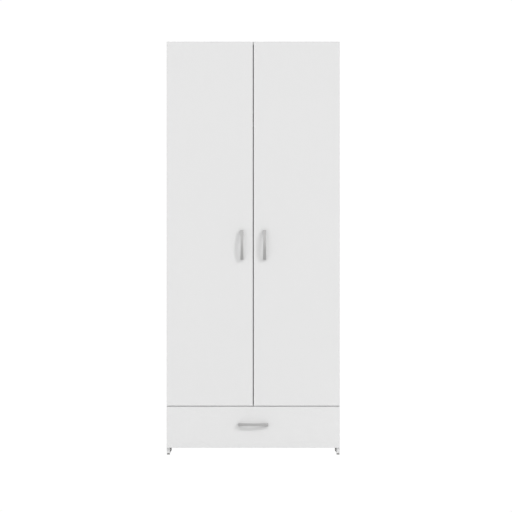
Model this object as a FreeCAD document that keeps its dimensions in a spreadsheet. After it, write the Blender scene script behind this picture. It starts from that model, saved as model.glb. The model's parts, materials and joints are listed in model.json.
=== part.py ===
"""Flat-pack wardrobe: two full-overlay doors over one drawer, all in melamine board.

Millimetres, +Z up. The fronts face -Y and the origin is on the floor, under the middle of
the overall box. Every driving size is a cell of the sheet Sizes, and the features are bound
to those cells by formulas. Left and right pieces mirror each other about x = 0.
"""
import FreeCAD
import Part
import os
import re
import Sketcher
from FreeCAD import Placement, Rotation, Vector

doc = FreeCAD.newDocument("wardrobe")
sheet = doc.addObject("Spreadsheet::Sheet", "Sizes")

# ------------------------------------------------------------------ driving sizes
SIZES = dict(
    # carcass
    overall_width=796,
    overall_height=1900,
    carcass_depth=480,
    board=15,
    back_board=3,
    back_inset=2,
    back_end_inset=1,
    # fronts: doors and drawer front
    front_board=15,
    front_gap=2,
    reveal=3,
    door_gap=4,
    side_inset=0.5,
    top_inset=2,
    edge_round=1,
    drawer_front_bottom=32,
    drawer_front_height=190,
    # places of the cross boards
    bottom_rise=3,
    deck_drop=2,
    hat_clear=300,
    shelf_setback=80,
    shelf_rear_gap=1.5,
    shelf_play=1,
    # H-section strip that joins the two backs
    strip_width=16,
    strip_web=2,
    strip_flange=1,
    # nails
    nail_radius=0.7,
    nail_length=16,
    nail_head_radius=2.2,
    nail_head=0.7,
    nail_inset=30,
    # cam joints and dowels
    cam_radius=7.5,
    cam_cover=1.1,
    cam_inset=24,
    cam_edge=50,
    cam_past=2,
    bolt_head_radius=3.4,
    bolt_head_length=8,
    bolt_thread=11,
    key_length=9,
    key_width=1.6,
    key_depth=1.5,
    dowel_radius=4,
    dowel_edge=82,
    dowel_in_side=10,
    dowel_in_board=20.5,
    dowel_play=0.5,
    # holes for 5 mm system screws, and for wood screws
    system_radius=2.5,
    system_depth=12,
    pilot_radius=1.75,
    pilot_depth=11,
    screw_head_radius=3.4,
    screw_head=1.6,
    euro_length=11,
    euro_head_radius=4,
    euro_head=1.8,
    plate_sheet=2,
    # floor glides and bumpers
    glide_height=6,
    glide_edge=0.5,
    glide_end=20,
    glide_pin_radius=1.5,
    glide_pin=14,
    bumper_radius=3.5,
    bumper_thick=1.5,
    bumper_door_x=30,
    bumper_drawer_x=50,
    # hat shelf supports
    support_end=60,
    support_pin=8,
    support_tab=7,
    support_width=12,
    support_height=9,
    support_drop=4,
    # hanging rail and its brackets
    rail_drop=45,
    rail_height=30,
    rail_width=15,
    rail_wall=1,
    rail_end_gap=2.5,
    rail_seat_play=0.2,
    cradle_wall=2,
    cradle_depth=13,
    cradle_top=6,
    rail_plate_width=36,
    rail_plate_low=22,
    rail_plate_high=20,
    rail_screw_y=12,
    rail_screw_z=12,
    # tip-over brackets under the top
    wall_bracket_x=300,
    wall_bracket_width=20,
    wall_bracket_sheet=2,
    wall_bracket_flat=42,
    wall_bracket_leg=50,
    wall_hole_radius=2.6,
    wall_hole_drop=35,
    back_hole_radius=6,
    bracket_screw_near=12,
    bracket_screw_far=28,
    # concealed hinges
    hinge_edge=100,
    cup_tab=3,
    cup_radius=17.5,
    cup_floor_board=2,
    cup_floor=0.8,
    cup_flange=1,
    cup_rim=2,
    cup_rim_inset=1.5,
    cup_screw_room=5,
    cup_screw_x=5,
    cup_lobe_radius=8,
    cup_slot_room=13,
    axis_inset=6.5,
    axis_above_floor=3,
    pin_radius=1,
    pin_play=0.05,
    pin_half=8.5,
    knuckle_wall=0.8,
    knuckle_room=0.4,
    arm_half=4.5,
    arm_side_room=0.5,
    arm_leg_rise=0.7,
    arm_sheet=2.8,
    arm_neck_end=12,
    arm_body_start=10,
    arm_body_end=62,
    arm_body_half=7,
    plate_setback=37,
    plate_spacing=32,
    plate_rib=3.2,
    plate_start=18,
    plate_end=60,
    plate_half=6.5,
    plate_lobe=6,
    cup_screw_head=1.2,
    # handles
    handle_centres=128,
    handle_foot=8,
    handle_width=14,
    handle_waist=10,
    handle_reach=28,
    handle_shoulder=16,
    handle_thick=4,
    door_handle_inset=52,
    door_handle_height=965,
    drawer_handle_drop=83,
    machine_radius=2,
    machine_play=0.25,
    machine_grip=8,
    machine_head_radius=4,
    machine_head=2.4,
    thread_spare=1,
    # drawer box
    box_side=12,
    box_height=120,
    box_rear_room=80,
    box_bottom=3,
    box_lift=8,
    box_groove=6,
    box_groove_play=0.1,
    box_bottom_gap=0.3,
    box_back_drop=10,
    box_cam_radius=6,
    box_cam_depth=10,
    box_cam_thick=9.8,
    box_bolt_radius=3,
    box_bolt_head=2.9,
    box_bolt_thread=10,
    box_joint_low=32,
    box_joint_high=96,
    box_dowel_radius=3,
    box_screw_length=24,
    box_screw_sink=0.2,
    box_countersink=2.5,
    foot_screw_front=60,
    foot_screw_rear=90,
    # roller runners
    runner_gap=12.5,
    runner_rise=8,
    runner_sheet=1.2,
    runner_clear=19.5,
    runner_setback=2,
    runner_flange_gap=2,
    runner_first=37,
    runner_last=45,
    roof_gap=4,
    front_axle=14,
    front_wheel=8,
    front_wheel_lift=0.2,
    rear_wheel=9,
    rear_wheel_lift=0.3,
    rear_axle_room=3,
    track_lift=0.3,
    track_edge=3,
    track_gap=2,
    box_rail_drop=2,
    axle_radius=2,
    rivet_radius=3.4,
    rivet_head=0.8,
    rivet_gap=0.2,
    wheel_room=6.5,
    front_wheel_from=3.4,
    rear_wheel_from=4.4,
)
for row, (alias, value) in enumerate(SIZES.items(), 1):
    sheet.set("A%d" % row, alias)
    sheet.set("B%d" % row, str(value))
    sheet.setAlias("B%d" % row, alias)

# ------------------------------------------------------------------ derived sizes
# Each is a formula over the sizes above. Heights end in _z, depths in _y.
DERIVED = dict(
    half="overall_width / 2",
    inner="half - board",
    front_reach="handle_reach + front_board + front_gap",
    front="(front_reach - carcass_depth - back_board - strip_flange) / 2",
    rear="front + carcass_depth",
    middle_y="front + carcass_depth / 2",
    face_back="front - front_gap",
    face_front="face_back - front_board",
    drawer_top_z="drawer_front_bottom + drawer_front_height",
    door_low="drawer_top_z + reveal",
    door_high="overall_height - top_inset",
    bottom_z="drawer_front_bottom + bottom_rise",
    deck_z="drawer_top_z - deck_drop",
    top_z="overall_height - board",
    shelf_z="top_z - hat_clear - board",
    rail_z="shelf_z - rail_drop",
    rail_straight="(rail_height - rail_width) / 2",
    back_low="bottom_z + back_end_inset",
    back_high="overall_height - back_end_inset",
    cradle_half="rail_width / 2 + rail_seat_play + cradle_wall",
    seat_radius="rail_width / 2 + rail_seat_play",
    wall_hole_z="top_z - wall_hole_drop",
    glide_radius="board / 2 - glide_edge",
    cam_depth="board / 2 + bolt_head_radius + cam_cover",
    cup_depth="front_board - cup_floor_board",
    cup_setback="side_inset + cup_tab + cup_radius",
    cup_x="half - cup_setback",
    cup_screw_z="cup_radius + cup_screw_room",
    pivot_x="axis_inset - cup_tab - cup_radius",
    pivot_y="axis_above_floor - cup_depth",
    knuckle="pin_radius + knuckle_wall",
    slot_half="arm_half + arm_side_room",
    plate_x="board - cup_setback",
    arm_near="plate_x + plate_rib",
    arm_far="arm_near + arm_sheet",
    handle_length="handle_centres + handle_foot",
    handle_bow="handle_reach - handle_shoulder",
    handle_outer="(handle_length ^ 2 / 4 + handle_bow ^ 2) / (2 * handle_bow)",
    handle_centre_y="handle_outer - handle_reach",
    waist_bow="(handle_width - handle_waist) / 2",
    waist_round="(handle_length ^ 2 / 4 + waist_bow ^ 2) / (2 * waist_bow)",
    drawer_handle_z="drawer_top_z - drawer_handle_drop",
    box_outer="inner - runner_gap",
    box_inner="box_outer - box_side",
    box_line="box_outer - box_side / 2",
    box_length="carcass_depth - box_rear_room",
    box_rear="face_back + box_length",
    runner_base="bottom_z + board + runner_rise",
    run_floor="runner_base + runner_sheet",
    run_ceiling="run_floor + runner_clear",
    run_front="front + runner_setback",
    run_rear="run_front + box_length",
    box_low="run_floor + box_rail_drop",
    box_high="box_low + box_height",
    box_floor="box_low + box_lift",
    box_dowel_z="box_low + (box_joint_low + box_joint_high) / 2",
    front_axle_y="front + front_axle",
    front_axle_z="run_floor + front_wheel + front_wheel_lift",
    track_z="front_axle_z + front_wheel + track_lift",
    rear_axle_y="box_rear - rear_wheel - rear_axle_room",
    rear_axle_z="run_floor + rear_wheel + rear_wheel_lift",
    wheel_width="runner_gap - wheel_room",
    flange_reach="runner_gap - runner_flange_gap",
)


def formula(text):
    """Replace each size name in a formula by its cell, working through derived sizes."""
    def swap(found):
        word = found.group(0)
        if word in DERIVED:
            return "(" + formula(DERIVED[word]) + ")"
        return "Sizes." + word if word in SIZES else word
    return re.sub(r"[a-z][a-z_]*", swap, str(text))


def bind(item, target, text):
    item.setExpression(target, formula(text))


# ------------------------------------------------------------------ limits and places
LEFT, RIGHT = -1, 1
SIDES = (("left", LEFT), ("right", RIGHT))
FROM_ZERO = ("0", "0")


def both(text):
    """The pair of limits that lie evenly on both sides of zero."""
    return ("-(%s)" % text, text)


def around(centre, reach):
    return ("%s - (%s)" % (centre, reach), "%s + (%s)" % (centre, reach))


def on_side(sign, text):
    return "%d * (%s)" % (sign, text)


def across(sign, near, far):
    """Limits in x on one side, from the smaller to the larger."""
    limits = (on_side(sign, near), on_side(sign, far))
    return limits if sign == RIGHT else limits[::-1]


def inward(sign, near, far):
    """Limits in x at two distances inwards from a side panel's inner face."""
    return across(sign, "inner - (%s)" % far, "inner - (%s)" % near)


# ------------------------------------------------------------------ solids
TURNS = dict(x=Rotation(Vector(0, 1, 0), 90), y=Rotation(Vector(1, 0, 0), -90), z=Rotation())
STRAIGHT = Rotation()
ABOUT_Y = Rotation(Vector(0, 1, 0), 180)
ABOUT_Z = Rotation(Vector(0, 0, 1), 180)
LYING = Rotation(Vector(0, 1, 0), 90)


def box(name, x, y, z):
    item = doc.addObject("Part::Box", name)
    for axis, side, limits in zip("xyz", ("Length", "Width", "Height"), (x, y, z)):
        bind(item, side, "(%s) - (%s)" % (limits[1], limits[0]))
        bind(item, "Placement.Base." + axis, limits[0])
    return item


def rod(name, along, radius, span, at=FROM_ZERO):
    """A cylinder along an axis; at gives its other two coordinates in x, y, z order."""
    item = doc.addObject("Part::Cylinder", name)
    item.Placement = Placement(Vector(), TURNS[along])
    bind(item, "Radius", radius)
    bind(item, "Height", "(%s) - (%s)" % (span[1], span[0]))
    bind(item, "Placement.Base." + along, span[0])
    for axis, value in zip([axis for axis in "xyz" if axis != along], at):
        bind(item, "Placement.Base." + axis, value)
    return item


def fuse(name, parts):
    item = doc.addObject("Part::MultiFuse", name)
    item.Shapes = parts
    return item


def cut(name, base, tools):
    item = doc.addObject("Part::Cut", name)
    item.Base = base
    item.Tool = tools[0] if len(tools) == 1 else fuse(name + "_tools", tools)
    return item


def common(name, base, tool):
    item = doc.addObject("Part::Common", name)
    item.Base = base
    item.Tool = tool
    return item


def compound(name, parts):
    item = doc.addObject("Part::Compound", name)
    item.Links = parts
    return item


def copies(name, places):
    """One piece made of placed copies; each place is (model, x, y, z, turn)."""
    links = []
    for number, (model, x, y, z, turn) in enumerate(places, 1):
        link = doc.addObject("App::Link", "%s_%d" % (name, number))
        link.LinkedObject = model
        link.Placement = Placement(Vector(), turn)
        for axis, value in zip("xyz", (x, y, z)):
            bind(link, "Placement.Base." + axis, value)
        links.append(link)
    return compound(name, links)


# ------------------------------------------------------------------ boards
def new_sketch(body, plane, offset):
    sketch = body.newObject("Sketcher::SketchObject", body.Name + "_sketch")
    roles = {item.Role: item for item in body.Origin.OriginFeatures}
    sketch.AttachmentSupport = (roles[plane + "_Plane"], [""])
    sketch.MapMode = "FlatFace"
    sign = "-" if plane == "XZ" else ""
    bind(sketch, "AttachmentOffset.Base.z", "%s(%s)" % (sign, offset))
    return sketch


def pin_point(sketch, geometry, point, u, v):
    for kind, value in (("DistanceX", u), ("DistanceY", v)):
        limit = Sketcher.Constraint(kind, -1, 1, geometry, point, 1.0)
        number = sketch.addConstraint(limit)
        sketch.setExpression("Constraints[%d]" % number, formula(value))


def draw_rectangle(sketch, u, v):
    corners = [Vector(0, 0), Vector(9, 0), Vector(9, 9), Vector(0, 9)]
    for number in range(4):
        sketch.addGeometry(Part.LineSegment(corners[number], corners[(number + 1) % 4]))
    for number in range(4):
        after = (number + 1) % 4
        sketch.addConstraint(Sketcher.Constraint("Coincident", number, 2, after, 1))
        level = "Vertical" if number % 2 else "Horizontal"
        sketch.addConstraint(Sketcher.Constraint(level, number))
    pin_point(sketch, 0, 1, u[0], v[0])
    pin_point(sketch, 2, 1, u[1], v[1])


def draw_circles(sketch, radius, points):
    for number, (u, v) in enumerate(points):
        index = sketch.addGeometry(Part.Circle(Vector(9 * number, 9), Vector(0, 0, 1), 1))
        size = sketch.addConstraint(Sketcher.Constraint("Radius", index, 1.0))
        sketch.setExpression("Constraints[%d]" % size, formula(radius))
        pin_point(sketch, index, 3, u, v)


def board(name, plane, u, v, start, thickness):
    """A flat board drawn on a plane and padded along its normal axis from start."""
    body = doc.addObject("PartDesign::Body", name)
    sketch = new_sketch(body, plane, "0")
    draw_rectangle(sketch, u, v)
    pad = body.newObject("PartDesign::Pad", name + "_pad")
    pad.Profile = sketch
    pad.Reversed = plane == "XZ"
    bind(pad, "Length", thickness)
    bind(body, "Placement.Base." + dict(XY="z", XZ="y", YZ="x")[plane], start)
    return body


def pocket(body, plane, offset, into, depth):
    """An empty pocket sketch at an offset, which cuts towards into, +1 or -1."""
    sketch = new_sketch(body, plane, offset)
    item = body.newObject("PartDesign::Pocket", body.Name + "_pocket")
    item.Profile = sketch
    item.Reversed = (into > 0) != (plane == "XZ")
    bind(item, "Length", depth)
    return sketch


def drill(body, plane, offset, into, depth, radius, points):
    draw_circles(pocket(body, plane, offset, into, depth), radius, points)


def groove(body, plane, offset, into, depth, u, v):
    draw_rectangle(pocket(body, plane, offset, into, depth), u, v)


def round_front_and_back(body):
    """Round the edges of a front's two large faces, as its edge band is."""
    doc.recompute()
    solid = body.Tip
    names = []
    for number, face in enumerate(solid.Shape.Faces, 1):
        if abs(face.normalAt(0, 0).y) > 0.99:
            names.append("Face%d" % number)
    fillet = body.newObject("PartDesign::Fillet", body.Name + "_round")
    fillet.Base = (solid, names)
    bind(fillet, "Radius", "edge_round")


# ------------------------------------------------------------------ shared positions
LEVELS = dict(top_panel="top_z", drawer_deck="deck_z", bottom_panel="bottom_z")
MID_BOARD = " + board / 2"
CAM_ROWS = ("front + cam_edge", "rear - cam_edge")
DOWEL_ROWS = ("front + dowel_edge", "rear - dowel_edge")
HINGE_ROWS = ("door_low + hinge_edge", "(door_low + door_high) / 2", "door_high - hinge_edge")
SHELF_ROWS = ("front + shelf_setback + support_end", "rear - support_end")
GLIDE_ROWS = ("front + glide_end", "rear - glide_end")
RUNNER_ROWS = ("front + runner_first", "(front + runner_first + run_rear - runner_last) / 2",
               "run_rear - runner_last")
BRACKET_ROWS = ("rear - bracket_screw_near", "rear - bracket_screw_far")
FOOT_ROWS = ("face_back + foot_screw_front", "box_rear - foot_screw_rear")
BOX_JOINTS = ("box_low + box_joint_low", "box_low + box_joint_high")
CUP_SCREWS = tuple(z + tail for z in HINGE_ROWS for tail in (" - cup_screw_z", " + cup_screw_z"))
DOOR_GRIPS = around("door_handle_height", "handle_centres / 2")
DRAWER_GRIPS = both("handle_centres / 2")
GROOVE_Z = ("box_floor - box_groove_play", "box_floor + box_bottom + box_groove_play")

CAM_POINTS = [(y, z + MID_BOARD) for z in LEVELS.values() for y in CAM_ROWS]
DOWEL_POINTS = [(y, z + MID_BOARD) for z in LEVELS.values() for y in DOWEL_ROWS]
PLATE_POINTS = [("front + plate_setback", z + tail) for z in HINGE_ROWS
                for tail in (" - plate_spacing / 2", " + plate_spacing / 2")]
RUNNER_POINTS = [(y, "run_floor + runner_clear / 2") for y in RUNNER_ROWS]
RAIL_POINTS = [(y, "rail_z + rail_screw_z") for y in around("middle_y", "rail_screw_y")]
SUPPORT_POINTS = [(y, "shelf_z - support_drop") for y in SHELF_ROWS]
BRACKET_POINTS = [(x, y) for x in both("wall_bracket_x") for y in BRACKET_ROWS]


# ------------------------------------------------------------------ carcass boards
def make_side_panel(side, sign):
    start = "-half" if sign == LEFT else "inner"
    inner_face = "board" if sign == LEFT else "0"
    panel = board("side_panel_" + side, "YZ", ("front", "rear"),
                  ("glide_height", "overall_height"), start, "board")
    drill(panel, "YZ", inner_face, sign, "system_depth", "system_radius",
          CAM_POINTS + PLATE_POINTS + RUNNER_POINTS + RAIL_POINTS + SUPPORT_POINTS)
    drill(panel, "YZ", inner_face, sign, "dowel_in_side", "dowel_radius", DOWEL_POINTS)
    drill(panel, "XY", "glide_height", 1, "glide_pin + thread_spare", "glide_pin_radius",
          [("board / 2", y) for y in GLIDE_ROWS])


def make_cross_board(name, level):
    """A board between the side panels, with its cam pockets and its end holes."""
    panel = board(name, "XY", both("inner"), ("front", "rear"), level, "board")
    drill(panel, "XY", "0", 1, "cam_depth", "cam_radius",
          [(x, y) for x in both("inner - cam_inset") for y in CAM_ROWS])
    for side, sign in SIDES:
        end = on_side(sign, "inner")
        drill(panel, "YZ", end, -sign, "cam_inset", "dowel_radius",
              [(y, "board / 2") for y in CAM_ROWS])
        drill(panel, "YZ", end, -sign, "dowel_in_board", "dowel_radius",
              [(y, "board / 2") for y in DOWEL_ROWS])
    return panel


def make_hat_shelf():
    board("hat_shelf", "XY", both("inner - shelf_play"),
          ("front + shelf_setback", "rear - shelf_rear_gap"), "shelf_z", "board")


def make_back(side, sign):
    panel = board("back_panel_" + side, "XZ", across(sign, "strip_web / 2", "half - back_inset"),
                  ("back_low", "back_high"), "rear", "back_board")
    drill(panel, "XZ", "0", 1, "back_board", "back_hole_radius",
          [(on_side(sign, "wall_bracket_x"), "wall_hole_z")])


def make_back_strip():
    flange = both("strip_width / 2")
    outside = ("rear + back_board", "rear + back_board + strip_flange")
    fuse("back_joint_strip", [
        box("strip_outer_flange", flange, outside, ("back_low", "back_high")),
        box("strip_middle", both("strip_web / 2"), ("rear", "rear + back_board"),
            ("back_low", "back_high")),
        box("strip_inner_flange", flange, ("rear - strip_flange", "rear"),
            ("deck_z + board", "top_z"))])


# ------------------------------------------------------------------ carcass fasteners
def make_nails():
    """Nails through the backs into the edges of the sides and the cross boards."""
    nail = fuse("nail", [
        rod("nail_shaft", "y", "nail_radius", ("-nail_length", "0")),
        rod("nail_cap", "y", "nail_head_radius", ("0", "nail_head"))])
    steps = 10
    places = []
    for step in range(steps + 1):
        share = "%d * (overall_height - bottom_z - 2 * nail_inset) / %d" % (step, steps)
        for side, sign in SIDES:
            places.append((on_side(sign, "half - board / 2"), "bottom_z + nail_inset + " + share))
    for level in LEVELS.values():
        for sixths in (-5, -3, -1, 1, 3, 5):
            places.append(("%d * half / 6" % sixths, level + MID_BOARD))
    copies("back_panel_nails", [(nail, x, "rear + back_board", z, STRAIGHT) for x, z in places])


def make_cam_joints():
    """Cams in the cross boards, their bolts in the side panels, and the dowels."""
    disc = rod("cam_disc", "z", "cam_radius", ("0", "cam_depth"))
    slots = [
        rod("cam_bore", "x", "dowel_radius", ("-(cam_radius + 1)", "cam_past + 1"),
            ("0", "board / 2")),
        box("cam_key_long", both("key_length / 2"), both("key_width / 2"), ("0", "key_depth")),
        box("cam_key_cross", both("key_width / 2"), both("key_length / 2"), ("0", "key_depth"))]
    cam = cut("cam", disc, slots)
    neck = "cam_inset + cam_past - bolt_head_length"
    bolt = fuse("cam_bolt", [
        rod("cam_bolt_shaft", "x", "system_radius", ("-bolt_thread", neck)),
        rod("cam_bolt_head", "x", "bolt_head_radius", (neck, "cam_inset + cam_past"))])
    dowel = compound("dowel", [
        rod("dowel_rod", "x", "dowel_radius",
            ("dowel_play - dowel_in_side", "dowel_in_board - dowel_play"))])
    cams, bolts, dowels = [], [], []
    for level in LEVELS.values():
        for side, sign in SIDES:
            flat_turn = STRAIGHT if sign == LEFT else ABOUT_Z
            bolt_turn = STRAIGHT if sign == LEFT else ABOUT_Y
            end = on_side(sign, "inner")
            for y in CAM_ROWS:
                cams.append((cam, on_side(sign, "inner - cam_inset"), y, level, flat_turn))
                bolts.append((bolt, end, y, level + MID_BOARD, bolt_turn))
            for y in DOWEL_ROWS:
                dowels.append((dowel, end, y, level + MID_BOARD, bolt_turn))
    copies("carcass_cams", cams)
    copies("carcass_cam_bolts", bolts)
    copies("carcass_dowels", dowels)


def make_euro_screws():
    """System screws of the hinge plates, the rail brackets and the runners."""
    screw = fuse("euro_screw", [
        rod("euro_shaft", "x", "system_radius", ("plate_sheet - euro_length", "plate_sheet")),
        rod("euro_cap", "x", "euro_head_radius", ("plate_sheet", "plate_sheet + euro_head"))])
    places = []
    for side, sign in SIDES:
        turn = STRAIGHT if sign == LEFT else ABOUT_Y
        for y, z in PLATE_POINTS + RAIL_POINTS:
            places.append((screw, on_side(sign, "inner"), y, z, turn))
        for y, z in RUNNER_POINTS:
            deeper = on_side(sign, "inner + plate_sheet - runner_sheet")
            places.append((screw, deeper, y, z, turn))
    copies("euro_screws", places)


# ------------------------------------------------------------------ feet, stops, supports
def make_glides():
    glide = fuse("glide", [
        rod("glide_foot", "z", "glide_radius", ("0", "glide_height")),
        rod("glide_nail", "z", "glide_pin_radius", ("glide_height", "glide_height + glide_pin"))])
    copies("floor_glides", [(glide, on_side(sign, "half - board / 2"), y, "0", STRAIGHT)
                            for side, sign in SIDES for y in GLIDE_ROWS])


def make_bumpers():
    """Soft bumpers that the doors and the drawer front close against."""
    bumper = compound("bumper", [
        rod("bumper_disc", "y", "bumper_radius", ("-bumper_thick", "0"))])
    spots = (("bumper_door_x", "top_z" + MID_BOARD),
             ("bumper_door_x", "(door_low + deck_z + board) / 2"),
             ("inner - bumper_drawer_x", "bottom_z" + MID_BOARD))
    copies("door_buffers", [(bumper, on_side(sign, x), "front", z, STRAIGHT)
                            for side, sign in SIDES for x, z in spots])


def make_shelf_supports():
    support = fuse("shelf_support", [
        rod("support_peg", "x", "system_radius", ("-support_pin", "0"), ("0", "-support_drop")),
        box("support_block", ("0", "support_tab"), both("support_width / 2"),
            ("-support_height", "0"))])
    copies("shelf_supports", [
        (support, on_side(sign, "inner"), y, "shelf_z", STRAIGHT if sign == LEFT else ABOUT_Z)
        for side, sign in SIDES for y in SHELF_ROWS])


# ------------------------------------------------------------------ hanging rail
def oval(name, radius, span):
    """A solid oval bar along x on the hanging rail's line."""
    heights = around("rail_z", "rail_straight")
    parts = [rod("%s_round_%d" % (name, number), "x", radius, span, ("middle_y", z))
             for number, z in enumerate(heights)]
    parts.append(box(name + "_flat", span, around("middle_y", radius), heights))
    return fuse(name, parts)


def make_hanging_rail():
    cut("hanging_rail", oval("rail_outside", "rail_width / 2", both("inner - rail_end_gap")),
        [oval("rail_inside", "rail_width / 2 - rail_wall", both("inner"))])


def make_rail_bracket(side, sign):
    """A screwed plate with an open cradle that the rail drops into."""
    cradle_low = "rail_z - rail_height / 2 - rail_seat_play - cradle_wall"
    shell = fuse("rail_shell_" + side, [
        box("rail_plate_" + side, inward(sign, "0", "plate_sheet"),
            around("middle_y", "rail_plate_width / 2"),
            ("rail_z - rail_plate_low", "rail_z + rail_plate_high")),
        box("rail_cradle_" + side, inward(sign, "plate_sheet", "cradle_depth"),
            around("middle_y", "cradle_half"), (cradle_low, "rail_z + cradle_top"))])
    through = inward(sign, "plate_sheet", "cradle_depth + 1")
    hollows = [
        rod("rail_seat_" + side, "x", "seat_radius", through,
            ("middle_y", "rail_z - rail_straight")),
        box("rail_mouth_" + side, through, around("middle_y", "seat_radius"),
            ("rail_z - rail_straight", "rail_z + rail_height"))]
    for number, point in enumerate(RAIL_POINTS):
        hollows.append(rod("rail_plate_hole_%s_%d" % (side, number), "x", "system_radius",
                           inward(sign, "-1", "plate_sheet + 1"), point))
    cut("rail_bracket_" + side, shell, hollows)


# ------------------------------------------------------------------ tip-over brackets
def make_wall_bracket(side, sign):
    x = on_side(sign, "wall_bracket_x")
    width = around(x, "wall_bracket_width / 2")
    shell = fuse("wall_shell_" + side, [
        box("wall_flat_" + side, width, ("rear - wall_bracket_flat", "rear"),
            ("top_z - wall_bracket_sheet", "top_z")),
        box("wall_leg_" + side, width, ("rear - wall_bracket_sheet", "rear"),
            ("top_z - wall_bracket_leg", "top_z"))])
    holes = [rod("wall_hole_" + side, "y", "wall_hole_radius",
                 ("rear - wall_bracket_sheet - 1", "rear + 1"), (x, "wall_hole_z"))]
    for number, y in enumerate(BRACKET_ROWS):
        holes.append(rod("wall_flat_hole_%s_%d" % (side, number), "z", "pilot_radius",
                         ("top_z - wall_bracket_sheet - 1", "top_z + 1"), (x, y)))
    cut("wall_bracket_" + side, shell, holes)


def make_bracket_screws():
    drill(doc.getObject("top_panel"), "XY", "0", 1, "pilot_depth", "pilot_radius",
          BRACKET_POINTS)
    screw = fuse("bracket_screw", [
        rod("bracket_screw_shaft", "z", "pilot_radius", ("0", "pilot_depth")),
        rod("bracket_screw_cap", "z", "screw_head_radius", ("-screw_head", "0"))])
    copies("wall_bracket_screws", [(screw, x, y, "top_z - wall_bracket_sheet", STRAIGHT)
                                   for x, y in BRACKET_POINTS])


# ------------------------------------------------------------------ concealed hinges
# Hinge pieces are drawn round the cup's centre on the door's inner face, with x away from
# the door's hinge edge and y into the carcass, and are turned about y for the right door.
def make_hinge_cup():
    """The cup with its flange, and the slot that the arm swings through."""
    flange = ("0", "cup_flange")
    lobes = both("cup_screw_z")
    wings = ("cup_screw_x - cup_lobe_radius", "cup_slot_room")
    parts = [
        rod("cup_pot", "y", "cup_radius", ("-cup_depth", "0")),
        common("cup_rim_cut", rod("cup_rim_disc", "y", "cup_radius + cup_rim", flange),
               box("cup_rim_keep", ("cup_rim_inset - cup_radius", "2 * cup_radius"), flange,
                   both("2 * cup_radius"))),
        box("cup_wings", wings, flange, lobes)]
    slot = (pivot_clear, "arm_far + cup_slot_room")
    cuts = [
        box("cup_slot", slot, ("cup_floor - cup_depth", "0"), both("slot_half")),
        box("cup_slot_mouth", ("-2 * cup_radius", "arm_far + cup_slot_room"),
            ("0", "cup_flange + 1"), both("slot_half")),
        rod("cup_pin_hole", "z", "pin_radius", both("pin_half"), ("pivot_x", "pivot_y"))]
    for number, z in enumerate(lobes):
        at = ("cup_screw_x", z)
        parts.append(rod("cup_lobe_%d" % number, "y", "cup_lobe_radius", flange, at))
        cuts.append(rod("cup_screw_hole_%d" % number, "y", "pilot_radius",
                        ("-1", "cup_flange + 1"), at))
    return cut("cup", fuse("cup_solid", parts), cuts)


pivot_clear = "pivot_x - knuckle - knuckle_room"


def make_hinge_arm():
    """The cranked arm: knuckle on the pin, leg, neck round the panel's edge, and body."""
    low = "pivot_y - knuckle"
    thickness = ("arm_near", "arm_far")
    solid = fuse("arm_solid", [
        rod("arm_knuckle", "z", "knuckle", both("arm_half"), ("pivot_x", "pivot_y")),
        box("arm_leg", ("pivot_x", "arm_far"), (low, "pivot_y + arm_leg_rise"),
            both("arm_half")),
        box("arm_neck", thickness, (low, "front_gap + arm_neck_end"), both("arm_half")),
        box("arm_body", thickness, ("front_gap + arm_body_start", "front_gap + arm_body_end"),
            both("arm_body_half"))])
    bore = rod("arm_bore", "z", "pin_radius + pin_play", both("arm_half + 1"),
               ("pivot_x", "pivot_y"))
    return cut("arm", solid, [bore])


def make_hinge_plate():
    """The mounting plate: a rib under the arm and two screwed wings."""
    sheet_x = ("plate_x", "plate_x + plate_sheet")
    y = "front_gap + plate_setback"
    parts = [
        box("plate_rib_block", ("plate_x", "arm_near"),
            ("front_gap + plate_start", "front_gap + plate_end"), both("plate_half")),
        box("plate_wings", sheet_x, around(y, "plate_lobe"), both("plate_spacing / 2"))]
    holes = []
    for number, z in enumerate(both("plate_spacing / 2")):
        parts.append(rod("plate_lobe_%d" % number, "x", "plate_lobe", sheet_x, (y, z)))
        holes.append(rod("plate_hole_%d" % number, "x", "system_radius",
                         ("plate_x - 1", "plate_x + plate_sheet + 1"), (y, z)))
    return cut("plate", fuse("plate_solid", parts), holes)


def make_hinges():
    pin = compound("hinge_pin", [
        rod("hinge_pin_rod", "z", "pin_radius", both("pin_half"), ("pivot_x", "pivot_y"))])
    screw = fuse("cup_screw", [
        rod("cup_screw_shaft", "y", "pilot_radius", ("cup_flange - pilot_depth", "cup_flange")),
        rod("cup_screw_cap", "y", "screw_head_radius",
            ("cup_flange", "cup_flange + cup_screw_head"))])
    models = dict(hinge_plates=make_hinge_plate(), hinge_arms=make_hinge_arm(),
                  hinge_cups=make_hinge_cup(), hinge_pins=pin)
    for side, sign in SIDES:
        turn = STRAIGHT if sign == LEFT else ABOUT_Y
        for name, model in models.items():
            copies("%s_%s" % (name, side), [
                (model, on_side(sign, "cup_x"), "face_back", z, turn) for z in HINGE_ROWS])
        copies("hinge_cup_screws_" + side, [
            (screw, on_side(sign, "cup_x - cup_screw_x"), "face_back", z, turn)
            for z in CUP_SCREWS])


# ------------------------------------------------------------------ handles
def bow_shape(name, half_length, radius):
    """A slab under an arc of that radius, whose crown is handle_reach off the door."""
    slab = box(name + "_slab", both("handle_width / 2"), ("-handle_reach", "0"),
               both(half_length))
    bow = rod(name + "_bow", "x", radius, both("handle_width"), ("handle_centre_y", "0"))
    return common(name, slab, bow)


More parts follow.
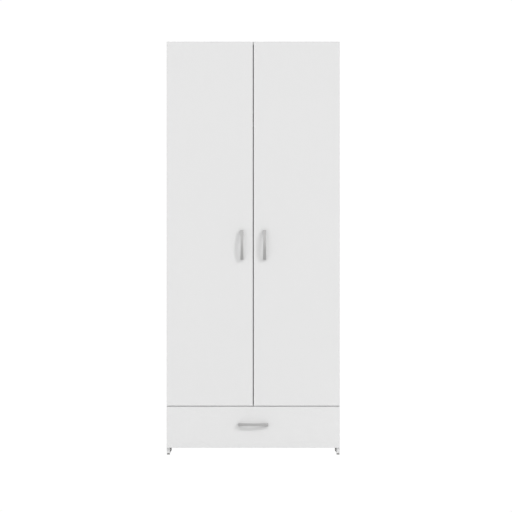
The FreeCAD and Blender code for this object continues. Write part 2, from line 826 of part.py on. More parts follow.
def make_handle():
    """A waisted bow handle with a foot at each end, upright, its back on y = 0."""
    cuts = [bow_shape("handle_gap", "handle_length / 2 - handle_foot",
                      "handle_outer - handle_thick")]
    for number, (x, z) in enumerate(zip(both("handle_waist / 2 + waist_round"), DRAWER_GRIPS)):
        cuts.append(rod("handle_waist_%d" % number, "y", "waist_round",
                        ("-handle_reach - 1", "1"), (x, "0")))
        cuts.append(rod("handle_thread_%d" % number, "y", "machine_radius",
                        ("-(machine_grip + thread_spare)", "0"), ("0", z)))
    return cut("handle", bow_shape("handle_full", "handle_length / 2", "handle_outer"), cuts)


def make_handle_screw():
    return fuse("handle_screw", [
        rod("handle_screw_shaft", "y", "machine_radius", ("-(front_board + machine_grip)", "0")),
        rod("handle_screw_cap", "y", "machine_head_radius", ("0", "machine_head"))])


# ------------------------------------------------------------------ doors
def make_door(side, sign, handle, screw):
    handle_x = on_side(sign, "door_handle_inset")
    cup_line = on_side(sign, "cup_x")
    door = board("door_" + side, "XZ", across(sign, "door_gap / 2", "half - side_inset"),
                 ("door_low", "door_high"), "face_front", "front_board")
    round_front_and_back(door)
    drill(door, "XZ", "front_board", -1, "cup_depth", "cup_radius",
          [(cup_line, z) for z in HINGE_ROWS])
    drill(door, "XZ", "front_board", -1, "pilot_depth", "pilot_radius",
          [(on_side(sign, "cup_x - cup_screw_x"), z) for z in CUP_SCREWS])
    drill(door, "XZ", "front_board", -1, "front_board", "machine_radius + machine_play",
          [(handle_x, z) for z in DOOR_GRIPS])
    copies("door_handle_" + side, [
        (handle, handle_x, "face_front", "door_handle_height", STRAIGHT)])
    copies("handle_screws_" + side, [(screw, handle_x, "face_back", z, STRAIGHT)
                                     for z in DOOR_GRIPS])


# ------------------------------------------------------------------ drawer box
def make_drawer_front(handle, screw):
    lines = both("box_line")
    panel = board("drawer_front", "XZ", both("half - side_inset"),
                  ("drawer_front_bottom", "drawer_top_z"), "face_front", "front_board")
    round_front_and_back(panel)
    groove(panel, "XZ", "front_board", -1, "box_groove", both("box_inner + box_groove"),
           GROOVE_Z)
    drill(panel, "XZ", "front_board", -1, "front_board", "machine_radius + machine_play",
          [(x, "drawer_handle_z") for x in DRAWER_GRIPS])
    drill(panel, "XZ", "front_board", -1, "box_bolt_thread + dowel_play", "system_radius",
          [(x, z) for x in lines for z in BOX_JOINTS])
    drill(panel, "XZ", "front_board", -1, "box_bolt_thread + dowel_play", "box_dowel_radius",
          [(x, "box_dowel_z") for x in lines])
    copies("drawer_handle", [(handle, "0", "face_front", "drawer_handle_z", LYING)])
    copies("drawer_handle_screws", [(screw, x, "face_back", "drawer_handle_z", STRAIGHT)
                                    for x in DRAWER_GRIPS])


def make_drawer_side(side, sign):
    start = "-box_outer" if sign == LEFT else "box_inner"
    inside = "box_side" if sign == LEFT else "0"
    outside = "0" if sign == LEFT else "box_side"
    back_screws = [("box_rear - box_side / 2", z) for z in BOX_JOINTS]
    panel = board("drawer_side_" + side, "YZ", ("face_back", "box_rear"),
                  ("box_low", "box_high"), start, "box_side")
    groove(panel, "YZ", inside, sign, "box_groove", ("face_back", "box_rear"), GROOVE_Z)
    drill(panel, "YZ", inside, sign, "box_cam_depth", "box_cam_radius",
          [("face_back + cam_inset", z) for z in BOX_JOINTS])
    drill(panel, "XZ", "face_back", 1, "cam_inset", "box_bolt_radius",
          [("box_side / 2", z) for z in BOX_JOINTS])
    drill(panel, "XZ", "face_back", 1, "dowel_in_board", "box_dowel_radius",
          [("box_side / 2", "box_dowel_z")])
    drill(panel, "YZ", outside, -sign, "box_side", "pilot_radius", back_screws)
    drill(panel, "YZ", outside, -sign, "box_countersink", "screw_head_radius", back_screws)
    drill(panel, "XY", "box_low", 1, "box_lift - thread_spare", "pilot_radius",
          [("box_side / 2", y) for y in FOOT_ROWS])


def make_drawer_back_and_bottom():
    panel = board("drawer_back", "XZ", both("box_inner"),
                  ("box_floor + box_bottom", "box_high - box_back_drop"),
                  "box_rear - box_side", "box_side")
    for side, sign in SIDES:
        drill(panel, "YZ", on_side(sign, "box_inner"), -sign, "box_screw_length + thread_spare",
              "pilot_radius", [("box_side / 2", z) for z in BOX_JOINTS])
    reach = "box_groove - box_bottom_gap"
    board("drawer_bottom", "XY", both("box_inner + " + reach),
          ("face_back - (%s)" % reach, "box_rear"), "box_floor", "box_bottom")


def make_drawer_fasteners():
    cam = cut("box_cam", rod("box_cam_disc", "x", "box_cam_radius", ("0", "box_cam_thick")), [
        rod("box_cam_bore", "y", "box_bolt_radius", ("-(box_cam_radius + 1)", "cam_past + 1"),
            ("box_side / 2", "0")),
        box("box_cam_key", ("0", "key_depth"), both("key_width / 2"), both("key_length / 3"))])
    neck = "cam_inset + cam_past - bolt_head_length"
    bolt = fuse("box_bolt", [
        rod("box_bolt_shaft", "y", "system_radius", ("-box_bolt_thread", neck)),
        rod("box_bolt_cap", "y", "box_bolt_head", (neck, "cam_inset + cam_past"))])
    dowel = compound("box_dowel", [
        rod("box_dowel_rod", "y", "box_dowel_radius",
            ("-box_bolt_thread", "dowel_in_board - dowel_play"))])
    back_screw = fuse("back_screw", [
        rod("back_screw_shaft", "x", "pilot_radius",
            ("box_countersink", "box_side + box_screw_length")),
        rod("back_screw_cap", "x", "screw_head_radius", ("box_screw_sink", "box_countersink"))])
    foot_screw = fuse("foot_screw", [
        rod("foot_screw_shaft", "z", "pilot_radius",
            ("0", "box_lift - thread_spare + dowel_play")),
        rod("foot_screw_cap", "z", "screw_head_radius", ("-screw_head", "0"))])
    cams, bolts, dowels, screws = [], [], [], []
    for side, sign in SIDES:
        line = on_side(sign, "box_line")
        cam_turn = ABOUT_Y if sign == LEFT else STRAIGHT
        screw_turn = STRAIGHT if sign == LEFT else ABOUT_Z
        for z in BOX_JOINTS:
            cams.append((cam, on_side(sign, "box_inner"), "face_back + cam_inset", z, cam_turn))
            bolts.append((bolt, line, "face_back", z, STRAIGHT))
            screws.append((back_screw, on_side(sign, "box_outer"), "box_rear - box_side / 2", z,
                           screw_turn))
        dowels.append((dowel, line, "face_back", "box_dowel_z", STRAIGHT))
        for y in FOOT_ROWS:
            screws.append((foot_screw, line, y, "box_low - runner_sheet", STRAIGHT))
    copies("drawer_cams", cams)
    copies("drawer_cam_bolts", bolts)
    copies("drawer_dowels", dowels)
    copies("drawer_screws", screws)


# ------------------------------------------------------------------ roller runners
def make_cabinet_runner(side, sign):
    """A channel on the side panel, with the axle of its front roller."""
    length = ("run_front", "run_rear")
    width = inward(sign, "0", "flange_reach")
    axle = ("front_axle_y", "front_axle_z")
    wheel_end = "front_wheel_from + wheel_width + rivet_gap"
    solid = fuse("runner_solid_" + side, [
        box("runner_web_" + side, inward(sign, "0", "runner_sheet"), length,
            ("runner_base", "run_ceiling + runner_sheet")),
        box("runner_floor_" + side, width, length, ("runner_base", "run_floor")),
        box("runner_roof_" + side, width,
            ("front_axle_y + front_wheel + roof_gap", "run_rear"),
            ("run_ceiling", "run_ceiling + runner_sheet")),
        rod("runner_axle_" + side, "x", "axle_radius", inward(sign, "0", wheel_end), axle),
        rod("runner_rivet_" + side, "x", "rivet_radius",
            inward(sign, wheel_end, wheel_end + " + rivet_head"), axle)])
    cut("cabinet_runner_" + side, solid, [
        rod("runner_hole_%s_%d" % (side, number), "x", "system_radius",
            inward(sign, "-1", "runner_sheet + 1"), point)
        for number, point in enumerate(RUNNER_POINTS)])


def make_drawer_runner(side, sign):
    """An angle under the drawer side, with its track and the axle of its rear roller."""
    length = ("face_back + thread_spare", "box_rear")
    low = ("box_low - runner_sheet", "box_low")
    axle = ("rear_axle_y", "rear_axle_z")
    rivet = "rear_wheel_from - rivet_gap"
    solid = fuse("drawer_rail_solid_" + side, [
        box("drawer_rail_web_" + side, inward(sign, "runner_gap - runner_sheet", "runner_gap"),
            length, (low[0], "track_z + runner_sheet")),
        box("drawer_rail_foot_" + side, inward(sign, "runner_gap", "runner_gap + box_side"),
            length, low),
        box("drawer_rail_track_" + side, inward(sign, "track_edge", "runner_gap"),
            ("front + thread_spare", "rear_axle_y - rear_wheel - track_gap"),
            ("track_z", "track_z + runner_sheet")),
        rod("drawer_axle_" + side, "x", "axle_radius", inward(sign, rivet, "runner_gap"), axle),
        rod("drawer_rivet_" + side, "x", "rivet_radius",
            inward(sign, rivet + " - rivet_head", rivet), axle)])
    cut("drawer_runner_" + side, solid, [
        rod("drawer_rail_hole_%s_%d" % (side, number), "z", "pilot_radius",
            ("box_low - runner_sheet - 1", "box_low + 1"), (on_side(sign, "box_line"), y))
        for number, y in enumerate(FOOT_ROWS)])


def make_wheel(name, side, sign, radius, near, y, z):
    width = inward(sign, near, near + " + wheel_width")
    disc = rod("%s_disc_%s" % (name, side), "x", radius, width, (y, z))
    bore = rod("%s_bore_%s" % (name, side), "x", "axle_radius + pin_play",
               inward(sign, near + " - 1", near + " + wheel_width + 1"), (y, z))
    cut("%s_%s" % (name, side), disc, [bore])


# ------------------------------------------------------------------ the whole wardrobe
def make_wardrobe():
    """Builds every piece; the names of the pieces are the names of their files."""
    for name, level in LEVELS.items():
        make_cross_board(name, level)
    make_hat_shelf()
    make_back_strip()
    make_nails()
    make_cam_joints()
    make_euro_screws()
    make_glides()
    make_bumpers()
    make_shelf_supports()
    make_hanging_rail()
    make_bracket_screws()
    make_hinges()
    handle = make_handle()
    handle_screw = make_handle_screw()
    make_drawer_front(handle, handle_screw)
    make_drawer_back_and_bottom()
    make_drawer_fasteners()
    for side, sign in SIDES:
        make_side_panel(side, sign)
        make_back(side, sign)
        make_rail_bracket(side, sign)
        make_wall_bracket(side, sign)
        make_door(side, sign, handle, handle_screw)
        make_drawer_side(side, sign)
        make_cabinet_runner(side, sign)
        make_drawer_runner(side, sign)
        make_wheel("cabinet_wheel", side, sign, "front_wheel", "front_wheel_from",
                   "front_axle_y", "front_axle_z")
        make_wheel("drawer_wheel", side, sign, "rear_wheel", "rear_wheel_from",
                   "rear_axle_y", "rear_axle_z")


PAIRS = """side_panel back_panel rail_bracket wall_bracket hinge_plates hinge_arms hinge_cups
hinge_pins hinge_cup_screws door door_handle handle_screws drawer_side cabinet_runner
drawer_runner cabinet_wheel drawer_wheel""".split()
SINGLES = """top_panel drawer_deck bottom_panel hat_shelf back_joint_strip back_panel_nails
hanging_rail shelf_supports carcass_cams carcass_cam_bolts carcass_dowels floor_glides
door_buffers wall_bracket_screws euro_screws drawer_front drawer_back drawer_bottom
drawer_handle drawer_handle_screws drawer_cams drawer_cam_bolts drawer_dowels
drawer_screws""".split()


def write_pieces():
    os.makedirs("parts", exist_ok=True)
    names = SINGLES + ["%s_%s" % (name, side) for name in PAIRS for side, sign in SIDES]
    pieces = [doc.getObject(name) for name in names]
    for name, piece in zip(names, pieces):
        piece.Label = name
        if piece.Shape.isNull() or not piece.Shape.isValid() or not piece.Shape.Solids:
            raise RuntimeError("%s has no valid solid" % name)
    for name, piece in zip(names, pieces):
        piece.Shape.exportStep("parts/%s.step" % name)
        print("%-24s %2d solids %12.1f mm3" % (
            name, len(piece.Shape.Solids), piece.Shape.Volume))


make_wardrobe()
doc.recompute()
for item in doc.Objects:
    if "Invalid" in item.State or "Error" in item.State:
        raise RuntimeError("%s is %s" % (item.Name, item.State))
write_pieces()
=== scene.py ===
"""Flat-pack wardrobe: finishes, rounded hardware and a white studio round the packed model.

Laid out as an add-on and run as a script. Lengths are metres, +Z up, fronts towards -Y.
Boards keep their CAD shape and get a finish of their own. The hardware is modelled again
with rounded edges, on the places that the CAD solids hold.
"""
import json
import math

import bpy
from bpy.props import FloatProperty, FloatVectorProperty, PointerProperty
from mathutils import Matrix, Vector

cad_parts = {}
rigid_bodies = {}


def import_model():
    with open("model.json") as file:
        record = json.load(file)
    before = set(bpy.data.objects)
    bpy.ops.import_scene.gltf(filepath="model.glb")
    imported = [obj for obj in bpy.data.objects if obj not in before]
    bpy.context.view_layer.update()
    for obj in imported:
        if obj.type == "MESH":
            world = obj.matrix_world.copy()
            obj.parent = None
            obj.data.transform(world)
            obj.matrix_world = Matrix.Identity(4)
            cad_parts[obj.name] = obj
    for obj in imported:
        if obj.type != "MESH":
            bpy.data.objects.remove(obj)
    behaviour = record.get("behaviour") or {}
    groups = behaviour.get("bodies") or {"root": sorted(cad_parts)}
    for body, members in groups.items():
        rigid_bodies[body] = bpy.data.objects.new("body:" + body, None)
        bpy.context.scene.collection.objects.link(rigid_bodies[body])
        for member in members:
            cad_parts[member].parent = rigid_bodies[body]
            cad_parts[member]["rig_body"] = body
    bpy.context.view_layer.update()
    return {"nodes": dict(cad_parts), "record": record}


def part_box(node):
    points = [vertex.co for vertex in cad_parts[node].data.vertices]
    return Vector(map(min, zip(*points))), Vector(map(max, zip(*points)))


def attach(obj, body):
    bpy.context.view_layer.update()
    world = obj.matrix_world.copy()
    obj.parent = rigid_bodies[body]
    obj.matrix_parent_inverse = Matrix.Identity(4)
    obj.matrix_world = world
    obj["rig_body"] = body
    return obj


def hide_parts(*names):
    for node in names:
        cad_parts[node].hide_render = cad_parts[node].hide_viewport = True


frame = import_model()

bl_info = {
    "name": "Flat-pack Wardrobe",
    "version": (1, 0, 0),
    "blender": (4, 5, 0),
    "location": "View3D > Sidebar > Wardrobe",
    "description": "Finishes, hardware and studio of a two-door wardrobe with a drawer",
    "category": "Object",
}

SIDES = ("left", "right")
AXES = dict(x=0, y=1, z=2)
MM = 0.001
SLOTS = {part["node"]: part["material_slot"] for part in frame["record"]["subparts"]}
# turns that point a model's +Z along an axis
POINTING = {"+x": (0, math.radians(90), 0), "-x": (0, math.radians(-90), 0),
            "+y": (math.radians(-90), 0, 0), "-y": (math.radians(90), 0, 0),
            "+z": (0, 0, 0), "-z": (math.radians(180), 0, 0)}


# ------------------------------------------------------------------ settings
def length(name, description, default):
    return FloatProperty(name=name, description=description, default=default * MM,
                         unit="LENGTH", precision=5)


def share(name, description, default):
    return FloatProperty(name=name, description=description, default=default,
                         min=0.0, max=1.0, subtype="FACTOR")


def tint(name, description, default):
    return FloatVectorProperty(name=name, description=description, default=default,
                               size=3, min=0.0, max=1.0, subtype="COLOR")


class WardrobeSizes(bpy.types.PropertyGroup):
    """Sizes that the hardware adds to the shape of its CAD solids."""
    band: length("Edge band", "Thickness of the band glued round a board", 1.0)
    handle_waist: length("Handle waist", "Width of a handle at its middle", 12.0)
    handle_shoulder: length("Handle shoulder", "Reach of a handle at its ends", 16.0)
    handle_thick: length("Handle thickness", "Thickness of the grip", 4.0)
    handle_foot: length("Handle foot", "Length of each foot of a handle", 8.0)
    handle_round: length("Handle rounding", "Edge rounding of a handle", 1.2)
    cup_radius: length("Hinge cup radius", "Outer radius of a hinge cup", 17.5)
    cup_wall: length("Hinge cup wall", "Thickness of a pressed hinge cup", 1.2)
    handle_step: length("Handle step", "Spacing of the rings along a handle", 2.0)


class WardrobeColours(bpy.types.PropertyGroup):
    """Base colours, as linear values."""
    melamine: tint("Melamine", "White faces of the boards", (0.765, 0.765, 0.765))
    band: tint("Edge band", "White band on the edges", (0.755, 0.756, 0.757))
    chipboard: tint("Chipboard", "Core of the boards", (0.46, 0.33, 0.20))
    flake: tint("Flakes", "Darker flakes of the core", (0.27, 0.175, 0.095))
    hardboard: tint("Hardboard", "Raw rear face of the backs", (0.30, 0.185, 0.10))
    lacquer: tint("Lacquer", "White inner face of the backs", (0.74, 0.735, 0.72))
    satin: tint("Satin metal", "Handles", (0.46, 0.458, 0.457))
    nickel: tint("Nickel", "Hinges", (0.66, 0.64, 0.60))
    zinc: tint("Zinc plate", "Screws, bolts and brackets", (0.69, 0.70, 0.70))
    cast: tint("Die-cast zinc", "Cams and rail brackets", (0.52, 0.52, 0.51))
    chrome: tint("Chrome", "Hanging rail", (0.80, 0.80, 0.81))
    enamel: tint("Enamel", "Coated runners", (0.78, 0.78, 0.765))
    nylon: tint("Nylon", "Rollers", (0.74, 0.74, 0.715))
    grey: tint("Grey plastic", "Floor glides", (0.33, 0.335, 0.33))
    clear: tint("Soft plastic", "Door bumpers", (0.72, 0.73, 0.71))
    strip: tint("White plastic", "Strip that joins the backs", (0.74, 0.74, 0.73))
    beech: tint("Beech", "Dowels", (0.60, 0.42, 0.26))


class WardrobeStudio(bpy.types.PropertyGroup):
    """Camera and light."""
    lens: FloatProperty(name="Lens", description="Focal length in millimetres",
                        default=367.0, min=1.0)
    distance: FloatProperty(name="Distance", description="From the fronts to the camera",
                            default=24.0, unit="LENGTH")
    camera_x: length("Camera offset", "Place of the camera along X", 12.7)
    camera_z: length("Camera height", "Height of the camera above the floor", 914.0)
    sky: FloatProperty(name="Sky", description="Light from all round", default=0.54, min=0.0)
    paper: share("Paper", "How much light the floor throws back", 0.95)
    floor_size: FloatProperty(name="Floor size", description="Side of the square floor",
                              default=160.0, unit="LENGTH")


# each lamp: strength, width in degrees, then degrees to the right of the front and upwards
LAMPS = dict(soft_key=(0.8, 12, 47, 31), front_fill=(1.19, 100, -5, 5),
             rear_fill=(1.0, 80, 170, 15))


def sizes():
    return bpy.context.scene.wardrobe_sizes


def colours():
    return bpy.context.scene.wardrobe_colours


def studio():
    return bpy.context.scene.wardrobe_studio


# ------------------------------------------------------------------ material nodes
class Finish:
    """A material on one Principled shader, with short calls for what feeds it."""

    def __init__(self, name, colour, roughness, metallic=0.0, **more):
        self.material = bpy.data.materials.new(name)
        self.material.use_nodes = True
        self.tree = self.material.node_tree
        self.shader = self.tree.nodes["Principled BSDF"]
        self.shader.inputs["Base Color"].default_value = (*colour, 1.0)
        self.shader.inputs["Roughness"].default_value = roughness
        self.shader.inputs["Metallic"].default_value = metallic
        for socket, value in more.items():
            self.shader.inputs[socket.replace("_", " ")].default_value = value
        self.place = self.node("ShaderNodeTexCoord").outputs["Object"]
        self.normal = None

    def node(self, kind, inputs=None, **attributes):
        made = self.tree.nodes.new(kind)
        for key, value in attributes.items():
            setattr(made, key, value)
        for key, value in (inputs or {}).items():
            if isinstance(value, bpy.types.NodeSocket):
                self.tree.links.new(value, made.inputs[key])
            else:
                made.inputs[key].default_value = value
        return made

    def maths(self, operation, *values):
        return self.node("ShaderNodeMath", dict(enumerate(values)),
                         operation=operation).outputs[0]

    def stretched(self, stretch):
        if stretch is None:
            return self.place
        return self.node("ShaderNodeMapping", {"Vector": self.place, "Scale": stretch}
                         ).outputs[0]

    def noise(self, scale, detail=3.0, stretch=None):
        return self.node("ShaderNodeTexNoise", {
            "Vector": self.stretched(stretch), "Scale": scale, "Detail": detail}
        ).outputs["Fac"]

    def cells(self, scale, output="Color", stretch=None, feature="F1"):
        return self.node("ShaderNodeTexVoronoi", {
            "Vector": self.stretched(stretch), "Scale": scale}, feature=feature
        ).outputs[output]

    def remap(self, value, low, high, to_low, to_high, smooth=False):
        return self.node("ShaderNodeMapRange", {
            "Value": value, "From Min": low, "From Max": high, "To Min": to_low,
            "To Max": to_high}, interpolation_type="SMOOTHSTEP" if smooth else "LINEAR"
        ).outputs[0]

    def mix(self, fac, first, second):
        """A colour between two; each is a socket or three numbers."""
        made = self.node("ShaderNodeMix", data_type="RGBA")
        sockets = {item.identifier: item for item in made.inputs}
        for key, value in (("Factor_Float", fac), ("A_Color", first), ("B_Color", second)):
            if isinstance(value, bpy.types.NodeSocket):
                self.tree.links.new(value, sockets[key])
            elif key == "Factor_Float":
                sockets[key].default_value = value
            else:
                sockets[key].default_value = (*value, 1.0)
        return {item.identifier: item for item in made.outputs}["Result_Color"]

    def along(self, axis):
        made = self.node("ShaderNodeSeparateXYZ", {"Vector": self.place})
        return made.outputs[AXES[axis]]

    def paint(self, colour):
        self.tree.links.new(colour, self.shader.inputs["Base Color"])

    def gloss(self, value):
        self.tree.links.new(value, self.shader.inputs["Roughness"])

    def relief(self, height, distance, strength=1.0):
        """Adds a bump on top of those there are; distance is its depth in metres."""
        inputs = {"Height": height, "Distance": distance, "Strength": strength}
        if self.normal is not None:
            inputs["Normal"] = self.normal
        self.normal = self.node("ShaderNodeBump", inputs).outputs[0]
        self.tree.links.new(self.normal, self.shader.inputs["Normal"])


def shade(colour, factor):
    return tuple(min(1.0, part * factor) for part in colour)


def cad_finish(node, finish):
    """Gives a CAD node its finish."""
    slots = frame["nodes"][node].data.materials
    slots.clear()
    slots.append(finish.material)


# ------------------------------------------------------------------ finishes of boards
def inside(finish, axis, low, high):
    """How far in from the nearer of two parallel faces, in metres."""
    middle, half = (low + high) / 2, (high - low) / 2
    away = finish.maths("ABSOLUTE", finish.maths("SUBTRACT", finish.along(axis), middle))
    return finish.maths("SUBTRACT", half, away)


def board_finish(node, thick, banded):
    """Melamine board: pearl-textured faces, edge band, and chipboard where it is cut.

    thick is the axis across the board, and banded names the edges that carry a band, such
    as "-y +z". Drilled holes, pockets and bare edges show the core.
    """
    paint = colours()
    band = sizes().band
    low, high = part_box(node)
    made = Finish("melamine_" + node, paint.melamine, 0.55, Specular_IOR_Level=0.25)
    skin = 0.12 * MM
    depth = inside(made, thick, low[AXES[thick]], high[AXES[thick]])
    cut = made.maths("GREATER_THAN", depth, skin)
    from_edge = None
    for edge in banded.split():
        plane = (high if edge[0] == "+" else low)[AXES[edge[1]]]
        gap = made.maths("ABSOLUTE", made.maths("SUBTRACT", made.along(edge[1]), plane))
        from_edge = gap if from_edge is None else made.maths("MINIMUM", from_edge, gap)
    on_band = made.maths("LESS_THAN", from_edge, band)
    core = made.maths("MULTIPLY", cut, made.maths("SUBTRACT", 1.0, on_band))
    off_seam = made.maths("ABSOLUTE", made.maths("SUBTRACT", from_edge, band))
    seam = made.remap(off_seam, 0.02 * MM, 0.12 * MM, 1.0, 0.0, smooth=True)
    # faces: a faint cloud in the white, and light handling marks that show as gloss
    cloud = made.noise(2.3, 4.0)
    face = made.mix(cloud, shade(paint.melamine, 0.992), shade(paint.melamine, 1.008))
    banding = made.noise(9.0, 2.0)
    edge_colour = made.mix(banding, shade(paint.band, 0.985), shade(paint.band, 1.01))
    colour = made.mix(on_band, face, edge_colour)
    scuff = made.remap(made.noise(60.0, 6.0), 0.66, 0.72, 0.0, 1.0)
    worn = made.maths("MULTIPLY", scuff, made.remap(from_edge, 0.0, 4 * MM, 0.5, 0.0))
    colour = made.mix(worn, colour, shade(paint.band, 0.86))
    colour = made.mix(made.maths("MULTIPLY", seam, 0.16), colour, shade(paint.band, 0.5))
    # core: pressed flakes of two sizes
    flakes = made.cells(420.0, "Color")
    strands = made.noise(900.0, 5.0)
    chips = made.mix(flakes, shade(paint.chipboard, 1.25), paint.flake)
    chips = made.mix(made.remap(strands, 0.35, 0.65, 0.0, 0.75), chips, paint.chipboard)
    made.paint(made.mix(core, colour, chips))
    marks = made.remap(made.noise(11.0, 6.0), 0.3, 0.7, 0.5, 0.6)
    smears = made.maths("MULTIPLY", made.remap(made.noise(3.1, 2.0), 0.55, 0.7, 0.0, 1.0),
                        0.04)
    polish = made.maths("ADD", marks, smears)
    polish = made.maths("SUBTRACT", polish, made.maths("MULTIPLY", on_band, 0.08))
    made.gloss(made.maths("MAXIMUM", polish, made.maths("MULTIPLY", core, 0.9)))
    pearl = made.noise(1500.0, 2.0)
    made.relief(pearl, 0.02 * MM, 0.55)
    ripple = made.noise(55.0, 2.0)
    made.relief(ripple, 0.03 * MM, 0.35)
    groove = made.maths("MULTIPLY", seam, -1.0)
    made.relief(groove, 0.05 * MM, 0.6)
    rough_core = made.maths("MULTIPLY", core, made.maths("ADD", strands, flakes))
    made.relief(rough_core, 0.35 * MM, 0.8)
    return made


def hardboard_finish(node, white_side, thick):
    """Hardboard: one lacquered white face, and a brown face with its wire-screen grid."""
    paint = colours()
    low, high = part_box(node)
    made = Finish("hardboard_" + node, paint.lacquer, 0.5, Specular_IOR_Level=0.4)
    plane = (high if white_side == "+" else low)[AXES[thick]]
    away = made.maths("ABSOLUTE", made.maths("SUBTRACT", made.along(thick), plane))
    raw = made.maths("GREATER_THAN", away, 0.3 * MM)
    fibre = made.noise(700.0, 5.0, stretch=(1.0, 1.0, 0.35))
    blotch = made.noise(7.0, 5.0)
    brown = made.mix(fibre, shade(paint.hardboard, 0.72), shade(paint.hardboard, 1.35))
    brown = made.mix(made.remap(blotch, 0.3, 0.7, 0.0, 0.5), brown,
                     shade(paint.hardboard, 0.85))
    haze = made.noise(5.0, 4.0)
    white = made.mix(haze, shade(paint.lacquer, 0.985), shade(paint.lacquer, 1.01))
    made.paint(made.mix(raw, white, brown))
    sheen = made.remap(made.noise(14.0, 5.0), 0.3, 0.7, 0.34, 0.46)
    made.gloss(made.maths("MAXIMUM", sheen, made.maths("MULTIPLY", raw, 0.82)))
    made.relief(made.noise(260.0, 3.0), 0.04 * MM, 0.4)
    # the screen that the mat was pressed on: a fine square grid
    lines = []
    for axis in "xyz".replace(thick, ""):
        wave = made.maths("SINE", made.maths("MULTIPLY", made.along(axis), 2800.0))
        lines.append(wave)
    grid = made.maths("MULTIPLY", raw, made.maths("MULTIPLY", lines[0], lines[1]))
    made.relief(grid, 0.12 * MM, 0.7)
    made.relief(made.maths("MULTIPLY", raw, fibre), 0.2 * MM, 0.5)
    return made


# ------------------------------------------------------------------ finishes of hardware
def satin_finish():
    """Satin metal of the handles: a fine matt grain with a soft polish on it."""
    paint = colours().satin
    made = Finish("satin_metal", paint, 0.36, 1.0)
    grain = made.noise(2600.0, 3.0)
    cloud = made.noise(35.0, 4.0)
    tone = made.mix(cloud, shade(paint, 0.97), shade(paint, 1.03))
    made.paint(made.mix(made.remap(grain, 0.3, 0.7, 0.0, 0.35), tone, shade(paint, 0.9)))
    made.gloss(made.maths("ADD", made.remap(grain, 0.3, 0.7, 0.31, 0.39),
                          made.remap(made.noise(24.0, 5.0), 0.45, 0.7, 0.0, 0.08)))
    made.relief(grain, 0.01 * MM, 0.5)
    return made


def metal_finish(name, paint, roughness, grain_scale, grain_depth, stretch=None):
    """Plated or cast metal: cloudy tone, grain, and duller spots from handling."""
    made = Finish(name, paint, roughness, 1.0)
    cloud = made.noise(90.0, 5.0)
    tone = made.mix(cloud, shade(paint, 0.88), shade(paint, 1.1))
    spots = made.remap(made.noise(420.0, 4.0), 0.62, 0.72, 0.0, 0.35)
    made.paint(made.mix(spots, tone, shade(paint, 0.68)))
    dull = made.remap(made.noise(160.0, 5.0), 0.3, 0.7, roughness * 0.75, roughness * 1.3)
    made.gloss(dull)
    made.relief(made.noise(grain_scale, 3.0, stretch), grain_depth, 0.6)
    return made


def chrome_finish():
    """Chromed tube: satin polish, with draw lines along it and faint wipe marks."""
    paint = colours().chrome
    made = Finish("chrome_tube", paint, 0.28, 1.0)
    wipe = made.noise(30.0, 5.0, stretch=(0.25, 1.0, 1.0))
    made.paint(made.mix(wipe, shade(paint, 0.95), shade(paint, 1.03)))
    made.gloss(made.remap(wipe, 0.4, 0.7, 0.24, 0.34))
    made.relief(made.noise(1800.0, 2.0, stretch=(0.02, 1.0, 1.0)), 0.006 * MM, 0.5)
    return made


def plastic_finish(name, paint, roughness, **more):
    """Moulded plastic: even tone, spark-eroded grain and slightly glossier patches."""
    made = Finish(name, paint, roughness, 0.0, **more)
    cloud = made.noise(40.0, 3.0)
    tone = made.mix(cloud, shade(paint, 0.95), shade(paint, 1.04))
    specks = made.remap(made.noise(800.0, 3.0), 0.68, 0.74, 0.0, 0.3)
    made.paint(made.mix(specks, tone, shade(paint, 0.75)))
    made.gloss(made.remap(made.noise(120.0, 4.0), 0.3, 0.7, roughness * 0.85,
                          roughness * 1.2))
    made.relief(made.noise(2200.0, 2.0), 0.02 * MM, 0.6)
    return made


def enamel_finish():
    """Epoxy powder coat on sheet steel: orange peel, and metal where it rubs thin."""
    paint = colours().enamel
    made = Finish("white_enamel", paint, 0.34, Coat_Weight=0.15, Coat_Roughness=0.2)
    cloud = made.noise(18.0, 4.0)
    tone = made.mix(cloud, shade(paint, 0.97), shade(paint, 1.02))
    rub = made.remap(made.noise(130.0, 6.0, stretch=(1.0, 0.15, 1.0)), 0.68, 0.73, 0.0, 0.4)
    made.paint(made.mix(rub, tone, shade(paint, 0.6)))
    made.gloss(made.remap(made.noise(70.0, 4.0), 0.3, 0.7, 0.28, 0.42))
    made.relief(made.noise(420.0, 2.0), 0.05 * MM, 0.5)
    return made


def beech_finish():
    """Fluted beech dowels: long grain with short dark flecks."""
    paint = colours().beech
    made = Finish("beech", paint, 0.62)
    grain = made.noise(500.0, 5.0, stretch=(0.08, 1.0, 1.0))
    flecks = made.remap(made.noise(900.0, 3.0, stretch=(0.15, 1.0, 1.0)), 0.6, 0.7, 0.0, 0.6)
    tone = made.mix(grain, shade(paint, 0.8), shade(paint, 1.15))
    made.paint(made.mix(flecks, tone, shade(paint, 0.55)))
    made.gloss(made.remap(grain, 0.3, 0.7, 0.55, 0.72))
    made.relief(grain, 0.08 * MM, 0.6)
    return made


FINISHES = {}


